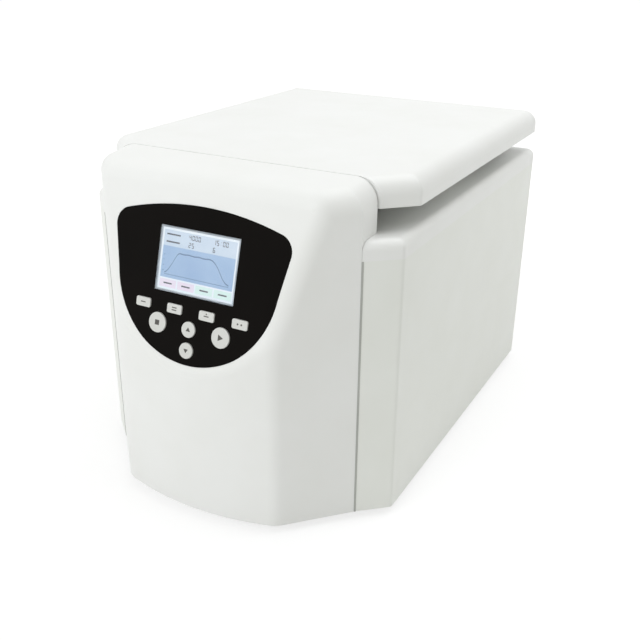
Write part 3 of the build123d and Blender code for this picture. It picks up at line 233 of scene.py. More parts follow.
def colour_between(tree, value, first, second, start=noise_low, end=noise_high):
    """A noise value as a colour from first to second."""
    ramp = add_node(tree, "ValToRGB", {"Fac": value})
    ramp.color_ramp.elements[0].position = start
    ramp.color_ramp.elements[0].color = first
    ramp.color_ramp.elements[1].position = end
    ramp.color_ramp.elements[1].color = second
    return ramp.outputs["Color"]


def blended(tree, share, first, second, way="MIX"):
    """Two colours blended. Sockets 6 and 7 are the node's colour inputs."""
    inputs = {0: share, 6: first, 7: second}
    return add_node(tree, "Mix", inputs, data_type="RGBA", blend_type=way).outputs[2]


def blank(name):
    """A new material, its node tree and its shader."""
    material = bpy.data.materials.new(name)
    material.use_nodes = True
    tree = material.node_tree
    return material, tree, tree.nodes["Principled BSDF"]


def set_relief(tree, shader, heights, depth):
    """Raises the surface by a pattern of this depth in metres."""
    bump = add_node(tree, "Bump", {"Height": heights, "Distance": depth, "Strength": 1.0})
    tree.links.new(bump.outputs[0], shader.inputs["Normal"])


# Finishes


def even_finish(
    name,
    light,
    dark,
    gloss=(0.38, 0.46),
    grain=1400.0,
    depth=0.02 * MM,
    metallic=0.0,
    mottle=14.0,
    specular=0.5,
):
    """A finish with slightly mottled colour, uneven gloss and a fine grain."""
    material, tree, shader = blank(name)
    place = own_place(tree)
    broad = noise(tree, place, mottle)
    fine = noise(tree, place, grain, detail=2.0)
    tree.links.new(colour_between(tree, broad, dark, light), shader.inputs["Base Color"])
    tree.links.new(number_between(tree, noise(tree, place, 5 * mottle), *gloss), shader.inputs["Roughness"])
    set_relief(tree, shader, fine, depth)
    shader.inputs["Metallic"].default_value = metallic
    shader.inputs["Specular IOR Level"].default_value = specular
    return material


def ringed_finish(name, light, dark, gloss, centre, rings=1800.0):
    """Metal with fine marks that run round an upright axis, as brushing or turning leaves them."""
    material, tree, shader = blank(name)
    place = ring_place(tree, centre)
    marks = noise(tree, place, rings, detail=2.0)
    streaks = noise(tree, own_place(tree), 40.0)
    tree.links.new(colour_between(tree, marks, dark, light), shader.inputs["Base Color"])
    tree.links.new(number_between(tree, streaks, *gloss), shader.inputs["Roughness"])
    set_relief(tree, shader, marks, 0.01 * MM)
    shader.inputs["Metallic"].default_value = 1.0
    return material


def spangled_finish(name, light, dark):
    """Galvanised sheet: pale crystal patches, each with its own gloss."""
    material, tree, shader = blank(name)
    place = own_place(tree)
    crystals = add_node(tree, "TexVoronoi", {"Vector": place, "Scale": 160.0}).outputs["Color"]
    patch = add_node(tree, "SeparateColor", {0: crystals})
    colour = colour_between(tree, patch.outputs[0], dark, light, 0.0, 1.0)
    tree.links.new(colour, shader.inputs["Base Color"])
    tree.links.new(number_between(tree, patch.outputs[1], 0.32, 0.48), shader.inputs["Roughness"])
    set_relief(tree, shader, noise(tree, place, 900.0), 0.01 * MM)
    shader.inputs["Metallic"].default_value = 1.0
    return material


def layered_finish(name, light, dark):
    """Stacked steel laminations: fine bands up the height."""
    material, tree, shader = blank(name)
    layers = noise(tree, own_place(tree), 1500.0, detail=1.0, stretch=(0.02, 0.02, 1))
    tree.links.new(colour_between(tree, layers, dark, light, 0.4, 0.6), shader.inputs["Base Color"])
    tree.links.new(number_between(tree, layers, 0.4, 0.6), shader.inputs["Roughness"])
    set_relief(tree, shader, layers, 0.05 * MM)
    shader.inputs["Metallic"].default_value = 0.9
    return material


def board_finish(name, mask, copper):
    """Circuit board: green mask over copper runs that turn at right angles."""
    material, tree, shader = blank(name)
    place = own_place(tree)
    runs = add_node(
        tree,
        "TexVoronoi",
        {"Vector": place, "Scale": 220.0, "Randomness": 0.8},
        distance="CHEBYCHEV",
        feature="SMOOTH_F1",
    ).outputs["Distance"]
    tree.links.new(colour_between(tree, runs, copper, mask, 0.3, 0.36), shader.inputs["Base Color"])
    tree.links.new(number_between(tree, noise(tree, place, 60.0), 0.28, 0.4), shader.inputs["Roughness"])
    set_relief(tree, shader, runs, 0.03 * MM)
    return material


def clear_finish(name, light, dark):
    """Screen glass with a trace of unevenness in its gloss."""
    material, tree, shader = blank(name)
    haze = noise(tree, own_place(tree), 30.0)
    tree.links.new(colour_between(tree, haze, dark, light), shader.inputs["Base Color"])
    tree.links.new(number_between(tree, haze, 0.01, 0.035), shader.inputs["Roughness"])
    shader.inputs["Transmission Weight"].default_value = 1.0
    shader.inputs["IOR"].default_value = 1.45
    return material


def lit_finish(name, first, second):
    """A patch of the lit screen, with a faint grid of picture points."""
    material, tree, shader = blank(name)
    place = own_place(tree)
    points = {"Vector": place, "Scale": 2600.0, "Color1": (1, 1, 1, 1), "Color2": (0.97, 0.97, 0.97, 1)}
    grid = add_node(tree, "TexChecker", points).outputs["Color"]
    drift = colour_between(tree, noise(tree, place, 22.0), first, second)
    tree.links.new(blended(tree, 1.0, drift, grid, "MULTIPLY"), shader.inputs["Emission Color"])
    shader.inputs["Base Color"].default_value = (0.01, 0.01, 0.012, 1)
    shader.inputs["Emission Strength"].default_value = 1.0
    shader.inputs["Roughness"].default_value = 0.35
    return material


rotor_low, rotor_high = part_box("rotor")
spindle_centre = (rotor_low + rotor_high) / 2

finishes = {
    "casing": even_finish("casing_moulding", tone(239, 239, 237), tone(236, 236, 233)),
    "lid_lining": even_finish(
        "lining_moulding",
        tone(219, 221, 218),
        tone(214, 216, 212),
        gloss=(0.42, 0.52),
    ),
    "painted_sheet": even_finish(
        "sheet_paint",
        tone(236, 237, 232),
        tone(233, 234, 228),
        gloss=(0.36, 0.44),
        grain=620.0,
        depth=0.03 * MM,
    ),
    "keypad_gloss": even_finish(
        "keypad_gloss",
        tone(16, 13, 11),
        tone(13, 11, 9),
        gloss=(0.12, 0.2),
        grain=300.0,
        depth=0.004 * MM,
        specular=0.05,
    ),
    "screen_glass": clear_finish("screen_glass", tone(252, 253, 254), tone(247, 250, 252)),
    "screen": even_finish("screen_bezel", tone(206, 214, 220), tone(198, 207, 214), gloss=(0.3, 0.4)),
    "circuit_board": board_finish("circuit_board", tone(18, 74, 44), tone(50, 120, 70)),
    "key_cap": even_finish(
        "key_cap",
        tone(216, 216, 212),
        tone(208, 208, 203),
        gloss=(0.3, 0.4),
        grain=2400.0,
        depth=0.008 * MM,
    ),
    "black_plastic": even_finish("black_plastic", tone(34, 34, 36), tone(24, 24, 26), gloss=(0.4, 0.52)),
    "stainless": ringed_finish(
        "stainless",
        tone(232, 232, 230),
        tone(216, 217, 216),
        (0.3, 0.36),
        spindle_centre,
    ),
    "gasket": even_finish(
        "gasket_rubber",
        tone(74, 76, 78),
        tone(60, 62, 64),
        gloss=(0.55, 0.7),
        grain=700.0,
    ),
    "rubber": even_finish(
        "foot_rubber",
        tone(34, 34, 35),
        tone(24, 24, 25),
        gloss=(0.6, 0.78),
        grain=800.0,
        depth=0.04 * MM,
    ),
    "zinc_sheet": spangled_finish("zinc_sheet", tone(196, 200, 204), tone(162, 167, 172)),
    "armour_steel": even_finish(
        "armour_steel",
        tone(88, 92, 97),
        tone(66, 69, 73),
        gloss=(0.4, 0.6),
        grain=260.0,
        depth=0.05 * MM,
        metallic=0.8,
    ),
    "steel": even_finish(
        "bright_steel",
        tone(188, 188, 190),
        tone(160, 161, 164),
        gloss=(0.18, 0.32),
        metallic=1.0,
        mottle=90.0,
    ),
    "screw_steel": even_finish(
        "screw_steel",
        tone(196, 196, 198),
        tone(168, 169, 172),
        gloss=(0.2, 0.34),
        metallic=1.0,
        mottle=160.0,
    ),
    "cast_aluminium": even_finish(
        "cast_aluminium",
        tone(184, 186, 188),
        tone(150, 153, 156),
        gloss=(0.42, 0.6),
        grain=420.0,
        depth=0.08 * MM,
        metallic=1.0,
    ),
    "laminations": layered_finish("laminations", tone(150, 147, 143), tone(84, 82, 80)),
    "rotor_aluminium": ringed_finish(
        "rotor_aluminium",
        tone(196, 199, 204),
        tone(172, 176, 182),
        (0.26, 0.36),
        spindle_centre,
        rings=1200.0,
    ),
    "guard_wire": even_finish(
        "guard_wire",
        tone(214, 214, 216),
        tone(190, 191, 194),
        gloss=(0.1, 0.2),
        metallic=1.0,
        mottle=120.0,
    ),
    "pin_brass": even_finish(
        "pin_plating",
        tone(212, 198, 160),
        tone(182, 166, 128),
        gloss=(0.16, 0.3),
        metallic=1.0,
        mottle=200.0,
    ),
}
# Grey of the joint beads: painted shade for the dark gaps between the side covers and the moulding
gap_shade_bead = even_finish(
    "gap_shade_bead",
    tone(176, 177, 172),
    tone(164, 165, 160),
    gloss=(0.5, 0.62),
    grain=700.0,
)
ink = even_finish("legend_ink", tone(86, 84, 80), tone(72, 70, 67), gloss=(0.4, 0.55))
engraving = even_finish("engraving", tone(52, 54, 58), tone(38, 40, 43), gloss=(0.45, 0.6))
pale_mark = even_finish("switch_marks", tone(226, 226, 224), tone(206, 206, 204), gloss=(0.4, 0.5))

for subpart in frame["record"]["subparts"]:
    for place in cad_nodes[subpart["node"]].material_slots:
        place.material = finishes[subpart["material_slot"]]


# Mesh building


def finish_piece(name, made, material, body, smooth=False):
    """Turns a bmesh into a piece that rides on a body, with its finish."""
    bmesh.ops.remove_doubles(made, verts=made.verts, dist=weld_distance)
    bmesh.ops.recalc_face_normals(made, faces=made.faces)
    mesh = bpy.data.meshes.new(name)
    made.to_mesh(mesh)
    made.free()
    mesh.materials.append(material)
    if smooth:
        mesh.shade_smooth()
        mesh.set_sharp_from_angle(angle=sharp_edge)
    piece = bpy.data.objects.new(name, mesh)
    bpy.context.scene.collection.objects.link(piece)
    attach(piece, body)
    return piece


def add_flat(made, place, outline, bottom, thickness):
    """A flat closed shape, given by its corners on a plane, raised by its thickness."""
    lower = [made.verts.new(place @ Vector((x, y, bottom))) for x, y in outline]
    upper = [made.verts.new(place @ Vector((x, y, bottom + thickness))) for x, y in outline]
    made.faces.new(lower[::-1])
    made.faces.new(upper)
    for index in range(len(outline)):
        made.faces.new((lower[index - 1], lower[index], upper[index], upper[index - 1]))


def join_rows(made, rows, closed=True):
    """Faces between each row of points and the next, and from the last back to the first if closed."""
    for index in range(0 if closed else 1, len(rows)):
        before, after = rows[index - 1], rows[index]
        for step in range(len(after)):
            made.faces.new((before[step - 1], after[step - 1], after[step], before[step]))


def add_turned(made, place, profile, steps=96):
    """A closed ring or solid turned about the plane's normal, from its (radius, height) corners."""
    rows = []
    for index in range(steps):
        turn = 2 * pi * index / steps
        row = [Vector((radius * cos(turn), radius * sin(turn), height)) for radius, height in profile]
        rows.append([made.verts.new(place @ point) for point in row])
    join_rows(made, rows)


def add_mesh(made, mesh, place):
    """A finished mesh, moved to its place and added to a form."""
    start = len(made.verts)
    made.from_mesh(mesh)
    made.verts.ensure_lookup_table()
    bmesh.ops.transform(made, matrix=place, verts=made.verts[start:])


def shown_mesh(form):
    """The mesh that an object shows, with its modifiers."""
    bpy.context.view_layer.update()
    return bpy.data.meshes.new_from_object(form.evaluated_get(bpy.context.evaluated_depsgraph_get()))


def box_outline(width, height, x=0.0, y=0.0):
    """The corners of a rectangle about a middle point."""
    return [(x + i * width / 2, y + j * height / 2) for i, j in ((-1, -1), (1, -1), (1, 1), (-1, 1))]


def round_outline(radius, steps=24, x=0.0, y=0.0):
    """A circle's corners about a middle point."""
    turns = [2 * pi * index / steps for index in range(steps)]
    return [(x + radius * cos(turn), y + radius * sin(turn)) for turn in turns]


def rounded_outline(width, height, radius, steps=8):
    """The corners of a rectangle with round corners."""
    corners = []
    for index, (i, j) in enumerate(((1, 1), (-1, 1), (-1, -1), (1, -1))):
        middle_x = i * (width / 2 - radius)
        middle_y = j * (height / 2 - radius)
        for step in range(steps + 1):
            turn = pi / 2 * (index + step / steps)
            corners.append((middle_x + radius * cos(turn), middle_y + radius * sin(turn)))
    return corners


def islands(node):
    """The points of a CAD node, one list for each separate part of it, in a fixed order."""
    mesh = bmesh.new()
    mesh.from_mesh(cad_nodes[node].data)
    bmesh.ops.remove_doubles(mesh, verts=mesh.verts, dist=island_weld_distance)
    unseen = set(mesh.verts)
    groups = []
    while unseen:
        reached = {unseen.pop()}
        edge = list(reached)
        while edge:
            near = {other for vert in edge for link in vert.link_edges for other in link.verts} & unseen
            unseen -= near
            reached |= near
            edge = list(near)
        groups.append([vert.co.copy() for vert in reached])
    mesh.free()
    return sorted(groups, key=lambda points: tuple(corners_of(points)[0]))


def corners_of(points):
    """The lowest and highest corner of some points."""
    low = Vector([min(p[i] for p in points) for i in range(3)])
    high = Vector([max(p[i] for p in points) for i in range(3)])
    return low, high


# Keypad frame: its own x to the right, its own y up the leaning face, its own z out of it
panel_up = Vector((0, sin(panel_lean), cos(panel_lean)))
panel_out = Vector((0, -cos(panel_lean), sin(panel_lean)))
panel_turn = Matrix((Vector((1, 0, 0)), panel_up, panel_out)).transposed()
glass_low, glass_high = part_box("display_glass")
panel = Matrix.Translation((glass_low + glass_high) / 2) @ panel_turn.to_4x4()


def on_panel(node):
    """The lowest and highest corner of a CAD node in the keypad's frame."""
    back = panel.inverted()
    return corners_of([back @ vert.co for vert in cad_nodes[node].data.vertices])


# Screen picture
picture_frame = lit_finish("picture_frame", tone(226, 236, 244), tone(236, 243, 248))
picture_light = lit_finish("picture_field", tone(146, 176, 212), tone(162, 190, 220))
picture_sky = lit_finish("picture_head", tone(192, 208, 226), tone(204, 218, 232))
picture_foot_left = lit_finish("picture_foot_left", tone(228, 218, 234), tone(234, 226, 238))
picture_foot_right = lit_finish("picture_foot_right", tone(208, 234, 230), tone(220, 240, 236))
picture_dark = lit_finish("picture_marks", tone(62, 70, 84), tone(76, 84, 98))
picture_curve = lit_finish("picture_curve", tone(82, 110, 150), tone(96, 122, 160))

# Segments of a numeral as (x, y, width, height), in half heights of the numeral
SEGMENTS = {
    "a": (0.0, 0.87, 0.8, 0.26),
    "b": (0.4, 0.5, 0.26, 0.8),
    "c": (0.4, -0.5, 0.26, 0.8),
    "d": (0.0, -0.87, 0.8, 0.26),
    "e": (-0.4, -0.5, 0.26, 0.8),
    "f": (-0.4, 0.5, 0.26, 0.8),
    "g": (0.0, 0.0, 0.8, 0.26),
}
NUMERALS = {
    "0": "abcdef",
    "1": "bc",
    "2": "abged",
    "3": "abgcd",
    "4": "fgbc",
    "5": "afgcd",
    "6": "afgcde",
    "7": "abc",
    "8": "abcdefg",
    "9": "abcdfg",
}


def add_numerals(made, place, text, x, y, height, bottom):
    """Segment numerals in a row, from x to the right. A colon is two dots."""
    half = height / 2
    for index, sign in enumerate(text):
        middle_x = x + index * numeral_pitch * half
        if sign == ":":
            dot = numeral_dot * half
            outlines = [box_outline(dot, dot, middle_x, y + side * half / 2) for side in (1, -1)]
        else:
            bars = [SEGMENTS[segment] for segment in NUMERALS[sign]]
            outlines = [
                box_outline(width * half, tall * half, middle_x + across * half, y + up * half)
                for across, up, width, tall in bars
            ]
        for outline in outlines:
            add_flat(made, place, outline, bottom, ink_thickness)


def make_screen_layer(name, material, outlines, bottom):
    """One layer of the lit picture, as flat shapes in the keypad's frame."""
    made = bmesh.new()
    for outline in outlines:
        add_flat(made, panel, outline, bottom, ink_thickness)
    finish_piece(name, made, material, "chassis")


def speed_curve(left, right, ground, rise):
    """A ribbon that climbs, stays level and falls, as the speed does over one run."""
    path = []
    for index in range(curve_steps + 1):
        share = index / curve_steps
        ramp = min(1.0, share / curve_climb_share, (1 - share) / curve_fall_share)
        smooth = ramp * ramp * (3 - 2 * ramp)
        ripple = curve_ripple * sin(curve_ripple_turn * share)
        path.append((left + share * (right - left), ground + rise * smooth + ripple))
    half = curve_width / 2
    return [(x, y - half) for x, y in path] + [(x, y + half) for x, y in path[::-1]]


def make_screen_picture():
    """The lit picture behind the glass: a head with figures, a field with a speed curve, and a foot."""
    low, high = on_panel("display_glass")
    width = high.x - low.x - 2 * screen_margin
    height = high.y - low.y - 2 * screen_margin
    base = low.z - bezel_height
    layer = base + 1.5 * ink_thickness
    level = layer + ink_thickness
    top = height / 2
    head = head_share * height
    foot = foot_share * height
    field = height - head - foot
    inner_width = width - 2 * screen_border

    backing = rounded_outline(width, height, screen_corner)
    make_screen_layer("screen_border", picture_frame, [backing], base + ink_thickness / 2)
    plot = box_outline(inner_width, field, 0, top - head - field / 2)
    make_screen_layer("screen_field", picture_light, [plot], layer)
    band_height = head - screen_border
    band = box_outline(inner_width, band_height, 0, top - screen_border - band_height / 2)
    make_screen_layer("screen_head", picture_sky, [band], layer)

    tile = (inner_width - (tile_count - 1) * tile_gap) / tile_count
    tile_height = foot - screen_border - tile_gap
    tile_y = -top + screen_border + tile_height / 2
    middles = [(tile - inner_width) / 2 + index * (tile + tile_gap) for index in range(tile_count)]
    tiles = [box_outline(tile, tile_height, middle, tile_y) for middle in middles]
    make_screen_layer("screen_foot_left", picture_foot_left, tiles[: tile_count // 2], layer)
    make_screen_layer("screen_foot_right", picture_foot_right, tiles[tile_count // 2 :], layer)

    marks = bmesh.new()
    for row, texts in enumerate(figure_rows):
        y = top - first_row_drop - row * row_pitch
        for text, start in zip(texts, figure_starts):
            add_numerals(marks, panel, text, start, y, figure_height, level)
        add_flat(marks, panel, box_outline(*row_mark, row_mark_inset - width / 2, y), level, ink_thickness)
    for middle in middles:
        mark = box_outline(tile / 2, tile_mark_height, middle, tile_y)
        add_flat(marks, panel, mark, level, ink_thickness)
    finish_piece("screen_figures", marks, picture_dark, "chassis")

    left = curve_inset - width / 2
    right = width / 2 - curve_inset
    ground = -top + foot + curve_lift
    rise = field - curve_lift - curve_headroom
    lines = [speed_curve(left, right, ground, rise)]
    for index in range(scale_mark_count):
        y = ground + rise * (index + scale_mark_start) / scale_mark_count
        lines.append(box_outline(*scale_mark, left - scale_mark_offset, y))
    lines.append(box_outline(right - left, axis_line_width, (left + right) / 2, ground - axis_line_drop))
    make_screen_layer("screen_curve", picture_curve, lines, level)


def key_legends():
    """The mark of each key, as outlines about the key's middle."""
    bar = 6 * MM
    stroke = 1.1 * MM
    return {
        "key_soft_1": [box_outline(bar, stroke)],
        "key_soft_2": [box_outline(bar, stroke, 0, 1.3 * MM), box_outline(bar, stroke, 0, -1.3 * MM)],
        "key_soft_3": [box_outline(bar, stroke), round_outline(0.8 * MM, y=2.4 * MM)],
        "key_soft_4": [round_outline(1.0 * MM, x=-2.2 * MM), round_outline(1.0 * MM, x=2.2 * MM)],
        "key_stop": [box_outline(5.4 * MM, 5.4 * MM)],
        "key_start": [[(-2.6 * MM, -3.4 * MM), (3.6 * MM, 0), (-2.6 * MM, 3.4 * MM)]],
        "key_up": [[(-2.8 * MM, -1.8 * MM), (2.8 * MM, -1.8 * MM), (0, 2.6 * MM)]],
        "key_down": [[(2.8 * MM, 1.8 * MM), (-2.8 * MM, 1.8 * MM), (0, -2.6 * MM)]],
    }


def make_key_legends():
    """Printed marks on the key caps."""
    for key, outlines in key_legends().items():
        low, high = on_panel(key)
        place = panel @ Matrix.Translation(((low.x + high.x) / 2, (low.y + high.y) / 2, 0))
        made = bmesh.new()
        for outline in outlines:
            add_flat(made, place, outline, high.z - ink_thickness / 2, ink_thickness)
        finish_piece(key.replace("key_", "legend_"), made, ink, key)


def make_gasket():
    """A gasket with a base, a groove and a soft lip that leans over the chamber."""
    low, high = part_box("chamber_gasket")
    outer = (high.x - low.x) / 2
    width = gasket_width
    inner = outer - width
    tall = high.z - low.z
    place = Matrix.Translation(((low.x + high.x) / 2, (low.y + high.y) / 2, low.z))
    profile = [
        (inner, 0),
        (outer, 0),
        (outer, 0.45 * tall),
        (outer - 0.3 * width, 0.55 * tall),
        (outer - 0.36 * width, 0.8 * tall),
        (outer - 0.5 * width, tall),
        (outer - 0.72 * width, 0.97 * tall),
        (inner + 0.08 * width, 0.78 * tall),
        (inner, 0.5 * tall),
    ]
    made = bmesh.new()
    add_turned(made, place, profile, steps=160)
    piece = finish_piece("gasket_lip", made, finishes["gasket"], "chassis", smooth=True)
    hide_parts("chamber_gasket")


def make_pads(name, node, axis, groove):
    """Rubber feet or bumpers, each turned with a chamfer and a groove, in place of plain discs."""
    made = bmesh.new()
    for points in islands(node):
        low, high = corners_of(points)
        tall = (high - low)[axis]
        radius = (high.x - low.x) / 2
        start = (low + high) / 2
        if axis == 2:
            start.z = low.z
            turn = Matrix.Identity(4)
        else:
            start.y = high.y
            turn = Matrix.Rotation(radians(90), 4, "X")
        bore = 0.3 * radius
        profile = [
            (bore, 0.5 * tall),
            (bore, 0.04 * tall),
            (bore + 0.04 * radius, 0),
            (0.9 * radius, 0),
            (0.98 * radius, 0.08 * tall),
            (radius, 0.3 * tall),
            (radius - groove, 0.36 * tall),
            (radius - groove, 0.44 * tall),
            (radius, 0.5 * tall),
            (radius, tall),
            (0.4 * bore, tall),
            (0.4 * bore, 0.5 * tall),
        ]
        add_turned(made, Matrix.Translation(start) @ turn, profile, steps=64)
    piece = finish_piece(name, made, finishes["rubber"], "chassis", smooth=True)
    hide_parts(node)


def carved(solid, cutter):
    """The mesh of one closed form with another cut out of it."""
    forms = []
    for name, made in (("screw_form", solid), ("cross_form", cutter)):
        mesh = bpy.data.meshes.new(name)
        made.to_mesh(mesh)
        made.free()
        form = bpy.data.objects.new(name, mesh)
        bpy.context.scene.collection.objects.link(form)
        forms.append(form)
    carve = forms[0].modifiers.new("recess", "BOOLEAN")
    carve.operation = "DIFFERENCE"
    carve.solver = "EXACT"
    carve.object = forms[1]
    result = shown_mesh(forms[0])
    for form in forms:
        bpy.data.objects.remove(form)
    return result


def cross_outline(width, reach):
    """The corners of an upright cross with four equal arms."""
    half = width / 2
    arm = [(-half, -reach), (half, -reach), (half, -half)]
    corners = []
    for across, up in ((1, 0), (0, 1), (-1, 0), (0, -1)):
        corners += [(x * across - y * up, x * up + y * across) for x, y in arm]
    return corners


def screw_pattern():
    """One pan-head screw with a cross recess: head up, seat at the origin."""
    shank = screw_shank_radius
    profile = [
        (0.0, -screw_length),
        (0.7 * shank, -screw_length),
        (shank, screw_point - screw_length),
        (shank, 0),
        (0.96 * screw_head_radius, 0),
    ]
    for turn in (radians(10 * index) for index in range(10)):
        radius = screw_head_radius * (0.62 + 0.38 * cos(turn))
        profile.append((radius, screw_head_height * (0.3 + 0.7 * sin(turn))))
    profile.append((0.0, screw_head_height))
    head = bmesh.new()
    add_turned(head, Matrix.Identity(4), profile, steps=40)
    bmesh.ops.remove_doubles(head, verts=head.verts, dist=weld_distance)
    bmesh.ops.dissolve_degenerate(head, edges=head.edges, dist=weld_distance / 10)
    bmesh.ops.recalc_face_normals(head, faces=head.faces)
    cutter = bmesh.new()
    cross = cross_outline(recess_width, recess_reach)
    add_flat(cutter, Matrix.Identity(4), cross, screw_head_height - recess_depth, cutter_height)
    bmesh.ops.recalc_face_normals(cutter, faces=cutter.faces)
    return carved(head, cutter)


def make_screws(name, node, body, pattern):
    """A screw with a cross recess in each place where the CAD node has a plain one."""
    made = bmesh.new()
    for number, points in enumerate(islands(node)):
        low, high = corners_of(points)
        size = high - low
        axis = max(range(3), key=lambda i: size[i])
        side = (axis + 1) % 3
        middle = (low + high) / 2
        end = screw_end_share * size[axis]
        near_low = [point for point in points if point[axis] < low[axis] + end]
        near_high = [point for point in points if point[axis] > high[axis] - end]
        reach_low = max(abs(point[side] - middle[side]) for point in near_low)
        reach_high = max(abs(point[side] - middle[side]) for point in near_high)
        head_at_high = reach_high > reach_low
        out = Vector((0, 0, 0))
        out[axis] = 1 if head_at_high else -1
        seat = middle.copy()
        seat[axis] = (high[axis] if head_at_high else low[axis]) - out[axis] * screw_head_height
        turn = Matrix.Rotation(screw_turn * number, 4, "Z")
        place = Matrix.Translation(seat) @ out.to_track_quat("Z", "Y").to_matrix().to_4x4() @ turn
        add_mesh(made, pattern, place)
    piece = finish_piece(name, made, finishes["screw_steel"], body, smooth=True)
    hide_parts(node)


def add_text(made, place, text, height):
    """Text in the built-in font, as a thin closed relief centred on a plane."""
    curve = bpy.data.curves.new("text_form", "FONT")
    curve.body = text
    curve.size = height
    curve.align_x = "CENTER"
    curve.align_y = "CENTER"
    curve.extrude = ink_thickness
    form = bpy.data.objects.new("text_form", curve)
    bpy.context.scene.collection.objects.link(form)
    mesh = shown_mesh(form)
    add_mesh(made, mesh, place)
    bpy.data.objects.remove(form)
    bpy.data.meshes.remove(mesh)


def make_pocket_numerals():
    """The number of each tube pocket, on the dish between its mouth and the rim."""
    edge_radius = rotor_radius - rotor_rim_width
    fall = (edge_radius - numeral_radius) * sin(pocket_tilt) / cos(pocket_tilt)
    made = bmesh.new()
    for index in range(pocket_count):
        turn = 2 * pi * index / pocket_count
        outward = Vector((cos(turn), sin(turn), 0))
        normal = Vector((0, 0, cos(pocket_tilt))) - outward * sin(pocket_tilt)
        up = -(outward * cos(pocket_tilt) + Vector((0, 0, sin(pocket_tilt))))
        across = up.cross(normal)
        axis_point = Vector((spindle_centre.x, spindle_centre.y, rotor_high.z - fall))
        origin = axis_point + outward * numeral_radius
        place = Matrix.Translation(origin) @ Matrix((across, up, normal)).transposed().to_4x4()
        add_text(made, place, str(index + 1), numeral_height)
    finish_piece("pocket_numerals", made, engraving, "spindle")


def add_wire(made, points, closed=False, sides=10):
    """A round guard wire through points that lie across Y, as a closed tube or ring."""
    across = Vector((0, 1, 0))
    rows = []
    count = len(points)
    for index, point in enumerate(points):
        before = points[index - 1] if closed or index else point
        after = points[(index + 1) % count] if closed or index < count - 1 else point
        side = (after - before).normalized().cross(across)
        turns = [2 * pi * step / sides for step in range(sides)]
        ring = [point + guard_wire_radius * (cos(turn) * side + sin(turn) * across) for turn in turns]
        rows.append([made.verts.new(corner) for corner in ring])
    join_rows(made, rows, closed)
    if not closed:
        made.faces.new(rows[0])
        made.faces.new(rows[-1][::-1])


def add_wire_ring(made, centre, radius, steps):
    """A ring of guard wire that faces along Y."""
    turns = [2 * pi * step / steps for step in range(steps)]
    circle = [centre + radius * Vector((cos(turn), 0, sin(turn))) for turn in turns]
    add_wire(made, circle, closed=True)


def make_fan_guard():
    """A finger guard of round wire: rings, two crossed spokes and an eye at each corner."""
    low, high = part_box("fan_guard")
    middle = (low + high) / 2
    ring_y = high.y - guard_wire_radius
    spoke_y = ring_y - guard_spoke_drop
    made = bmesh.new()
    for radius in guard_rings:
        add_wire_ring(made, Vector((middle.x, ring_y, middle.z)), radius, guard_ring_steps)
    reach = guard_screw_pitch / 2
    for slant in (1, -1):
        first = Vector((middle.x - reach, spoke_y, middle.z - slant * reach))
        last = Vector((middle.x + reach, spoke_y, middle.z + slant * reach))
        eye = guard_eye_radius * (last - first).normalized()
        add_wire(made, [first + eye, last - eye])
        for end in (first, last):
            add_wire_ring(made, end, guard_eye_radius, guard_eye_steps)
    wire_finish = finishes["guard_wire"]
    piece = finish_piece("fan_guard_wires", made, wire_finish, "chassis", smooth=True)
    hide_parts("fan_guard")


def make_gap_shade_beads():
    """A grey bead in each side cover's joint with the moulding, lapped over the cover's slanted edge; its
    grey is painted shade for the dark gap of the joint.
    """
    slope = corner_depth / corner_width
    made = bmesh.new()
    moulding_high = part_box("front_fascia")[1]
    for side, cover in ((-1, "left_side_cover"), (1, "right_side_cover")):
        low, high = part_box(cover)
        inner = low.x if side > 0 else -high.x
        outer = inner + shade_bead_lap
        root = moulding_high.x + shade_bead_gap
        back = low.y + shade_bead_depth
        profile = [
            (root, back),
            (root, low.y - shade_bead_proud),
            (outer, low.y + slope * shade_bead_lap - shade_bead_proud),
            (outer, low.y + slope * shade_bead_lap - shade_bead_gap),
            (inner - shade_bead_gap, low.y - shade_bead_gap),
            (inner - shade_bead_gap, back),
        ]
        outline = [(side * x, y) for x, y in profile]
        add_flat(made, Matrix.Identity(4), outline, low.z, high.z - low.z)
    finish_piece("gap_shade_beads", made, gap_shade_bead, "chassis")


def make_switch_marks():
    """A bar for on and a ring for off, printed on the rocker's face."""
    low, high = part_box("power_rocker")
    middle = (low + high) / 2
    up = Vector((0, -sin(rocker_lean), cos(rocker_lean)))
    out = Vector((0, cos(rocker_lean), sin(rocker_lean)))
    face = max((vert.co - middle).dot(out) for vert in cad_nodes["power_rocker"].data.vertices)
    turn = Matrix((up.cross(out), up, out)).transposed().to_4x4()
    place = Matrix.Translation(middle + face * out) @ turn
    bottom = -ink_thickness / 2
    top = ink_thickness
    inner, outer = off_mark_radii
    made = bmesh.new()
    add_flat(made, place, box_outline(*on_mark, 0, rocker_mark_rise), bottom, top - bottom)
    ring = [(inner, bottom), (outer, bottom), (outer, top), (inner, top)]
    add_turned(made, place @ Matrix.Translation((0, -rocker_mark_rise, 0)), ring, steps=40)
    finish_piece("rocker_marks", made, pale_mark, "power_rocker")


# Light, floor and camera


def add_softbox(name, place, size, power, in_gloss=True):
    """A square area light that points at the object, and may stay out of what gloss shows."""
    data = bpy.data.lights.new(name, "AREA")
    data.shape = "SQUARE"
    data.size = size
    data.energy = power
    data.color = lamp_colour
    lamp = bpy.data.objects.new(name, data)
    lamp.location = place
    lamp.visible_glossy = in_gloss
    lamp.rotation_mode = "QUATERNION"
    lamp.rotation_quaternion = (Vector(lamp_target) - Vector(place)).to_track_quat("-Z", "Y")
    bpy.context.scene.collection.objects.link(lamp)


def shown_directly(tree):
    """1 for rays that show the background: to the camera, in gloss and through glass."""
    paths = add_node(tree, "LightPath").outputs
    either = {0: paths["Is Camera Ray"], 1: paths["Is Glossy Ray"]}
    either_ray = add_node(tree, "Math", either, operation="MAXIMUM").outputs[0]
    all_three = {0: either_ray, 1: paths["Is Transmission Ray"]}
    return add_node(tree, "Math", all_three, operation="MAXIMUM").outputs[0]


